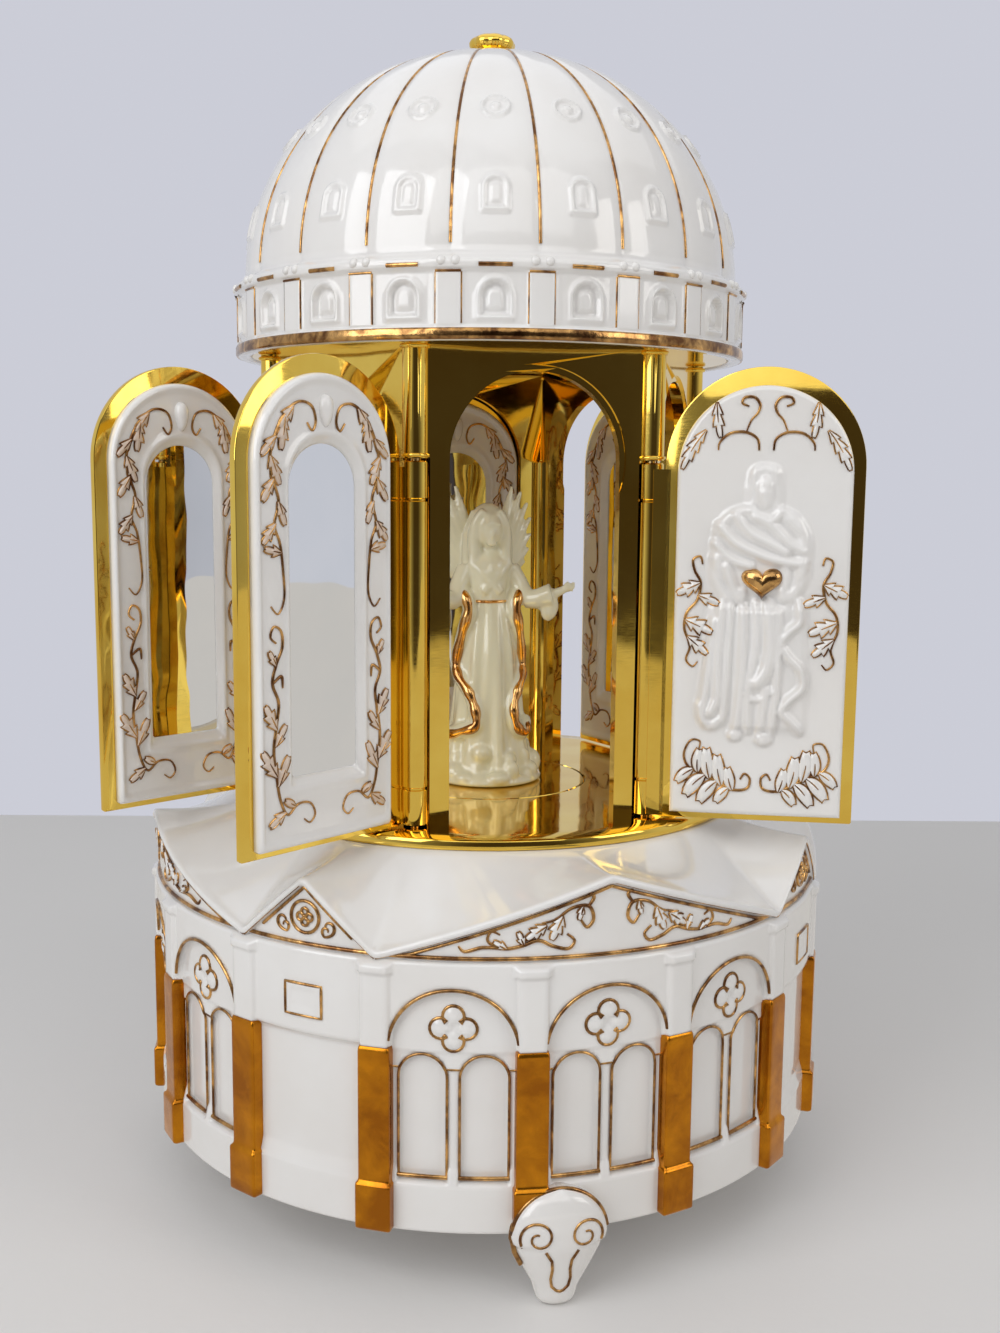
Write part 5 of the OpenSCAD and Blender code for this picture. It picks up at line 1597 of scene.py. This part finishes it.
def coat_inner_pieces():
    """Gives each kept piece of the movement and the fittings its finish."""
    for node, material in PLAIN_FINISHES.items():
        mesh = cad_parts[node].data
        mesh.materials.clear()
        mesh.materials.append(FINISHES[material])


# ---- Table, wall, lamps and camera ----


TABLE_EDGES = (-1600, 1600, -900, 300)


def table():
    """A pale table top; the pale room behind it is the world's own tone."""
    left, right, front, back = TABLE_EDGES
    corners = np.array([[left, front, 0], [right, front, 0], [right, back, 0], [left, back, 0]], float)
    turn = np.array(Matrix.Rotation(math.radians(CAMERA_TURN), 3, "Z"))
    top = mesh_of("table_top", corners @ turn.T, [[0, 1, 2, 3]])
    top.data.materials.append(FINISHES["floor_card"])


def lamp(name, at, aim, size, power, tone=(1.0, 1.0, 1.0)):
    """A soft rectangular lamp at a point, turned to another."""
    data = bpy.data.lights.new(name, "AREA")
    data.shape, data.size, data.size_y = "RECTANGLE", size[0] * MM, size[1] * MM
    data.energy, data.color = power, tone
    made = bpy.data.objects.new(name, data)
    bpy.context.scene.collection.objects.link(made)
    made.location = Vector(at) * MM
    made.rotation_euler = (Vector(aim) - Vector(at)).to_track_quat("-Z", "Y").to_euler()


ROOM_FILL = (0.285, 0.29, 0.305)
ROOM_PALE = (0.60, 0.61, 0.66)
ROOM_DARK = (0.05, 0.04, 0.035)
ROOM_BEHIND = (0.60, 0.61, 0.68)


def light_the_room():
    """Even fill for the surfaces; gloss sees a pale room with a darker side in front."""
    world = bpy.data.worlds.new("room_light")
    world.use_nodes = True
    wire = Wire(world.node_tree)
    way = wire.node("SeparateXYZ", None, {0: wire.node("TexCoord")}, out=1)
    shown = wire.between(wire.spread(way, -0.95, -0.35), ROOM_DARK, ROOM_PALE)
    glossy = wire.node("LightPath", out=3)
    camera_ray = wire.node("LightPath")
    tone = wire.between(camera_ray, wire.between(glossy, ROOM_FILL, shown), ROOM_BEHIND)
    world.node_tree.links.new(tone.socket, world.node_tree.nodes["Background"].inputs["Color"])
    bpy.context.scene.world = world
    lamp("window_left", (-640, -420, 520), (0, 0, 130), (560, 700), 3.3, (0.97, 0.98, 1.0))
    lamp("window_right", (650, -600, 500), (0, 0, 130), (380, 460), 1.4, (1.0, 0.97, 0.93))
    lamp("front_lamp", (-60, -640, 640), (0, 0, 110), (800, 460), 1.25)
    lamp("ceiling_lamp", (60, 60, 860), (0, 0, 120), (1100, 900), 1.3)


CAMERA_TURN = -12.7535
CAMERA_YAW = 0.5238
CAMERA_PITCH = 7.9379
CAMERA_ROLL = 0.5098
CAMERA_R = 317.87
CAMERA_Z = 156.01
CAMERA_LENS = 37.513


def camera():
    """Sets the camera where its fitted place and turn put it."""
    data = bpy.data.cameras.new("camera")
    data.lens, data.sensor_width = CAMERA_LENS, 36
    data.clip_start, data.clip_end = 0.01, 20
    made = bpy.data.objects.new("camera", data)
    bpy.context.scene.collection.objects.link(made)
    made.matrix_world = (Matrix.Translation(Vector(round_axis(CAMERA_R, CAMERA_TURN, CAMERA_Z)) * MM)
                         @ Matrix.Rotation(math.radians(CAMERA_TURN - CAMERA_YAW), 4, "Z")
                         @ Matrix.Rotation(math.radians(90 - CAMERA_PITCH), 4, "X")
                         @ Matrix.Rotation(math.radians(CAMERA_ROLL), 4, "Z"))
    bpy.context.scene.camera = made


base_wall()
star_roof()
pilaster_bars()
wall_lines()
gable_ornament()
for foot_side, foot_deg in FEET.items():
    foot(foot_side, foot_deg)
deck_and_turntable()
softened("cage", "cabinet_walls", "gilt", "base", "gilt")
post_trim()
doors()
dome_shell()
dome_gold()
cornice_knobs()
finial_knob()
angel()
coat_inner_pieces()
table()
light_the_room()
camera()
bpy.context.scene.view_settings.view_transform = "Standard"
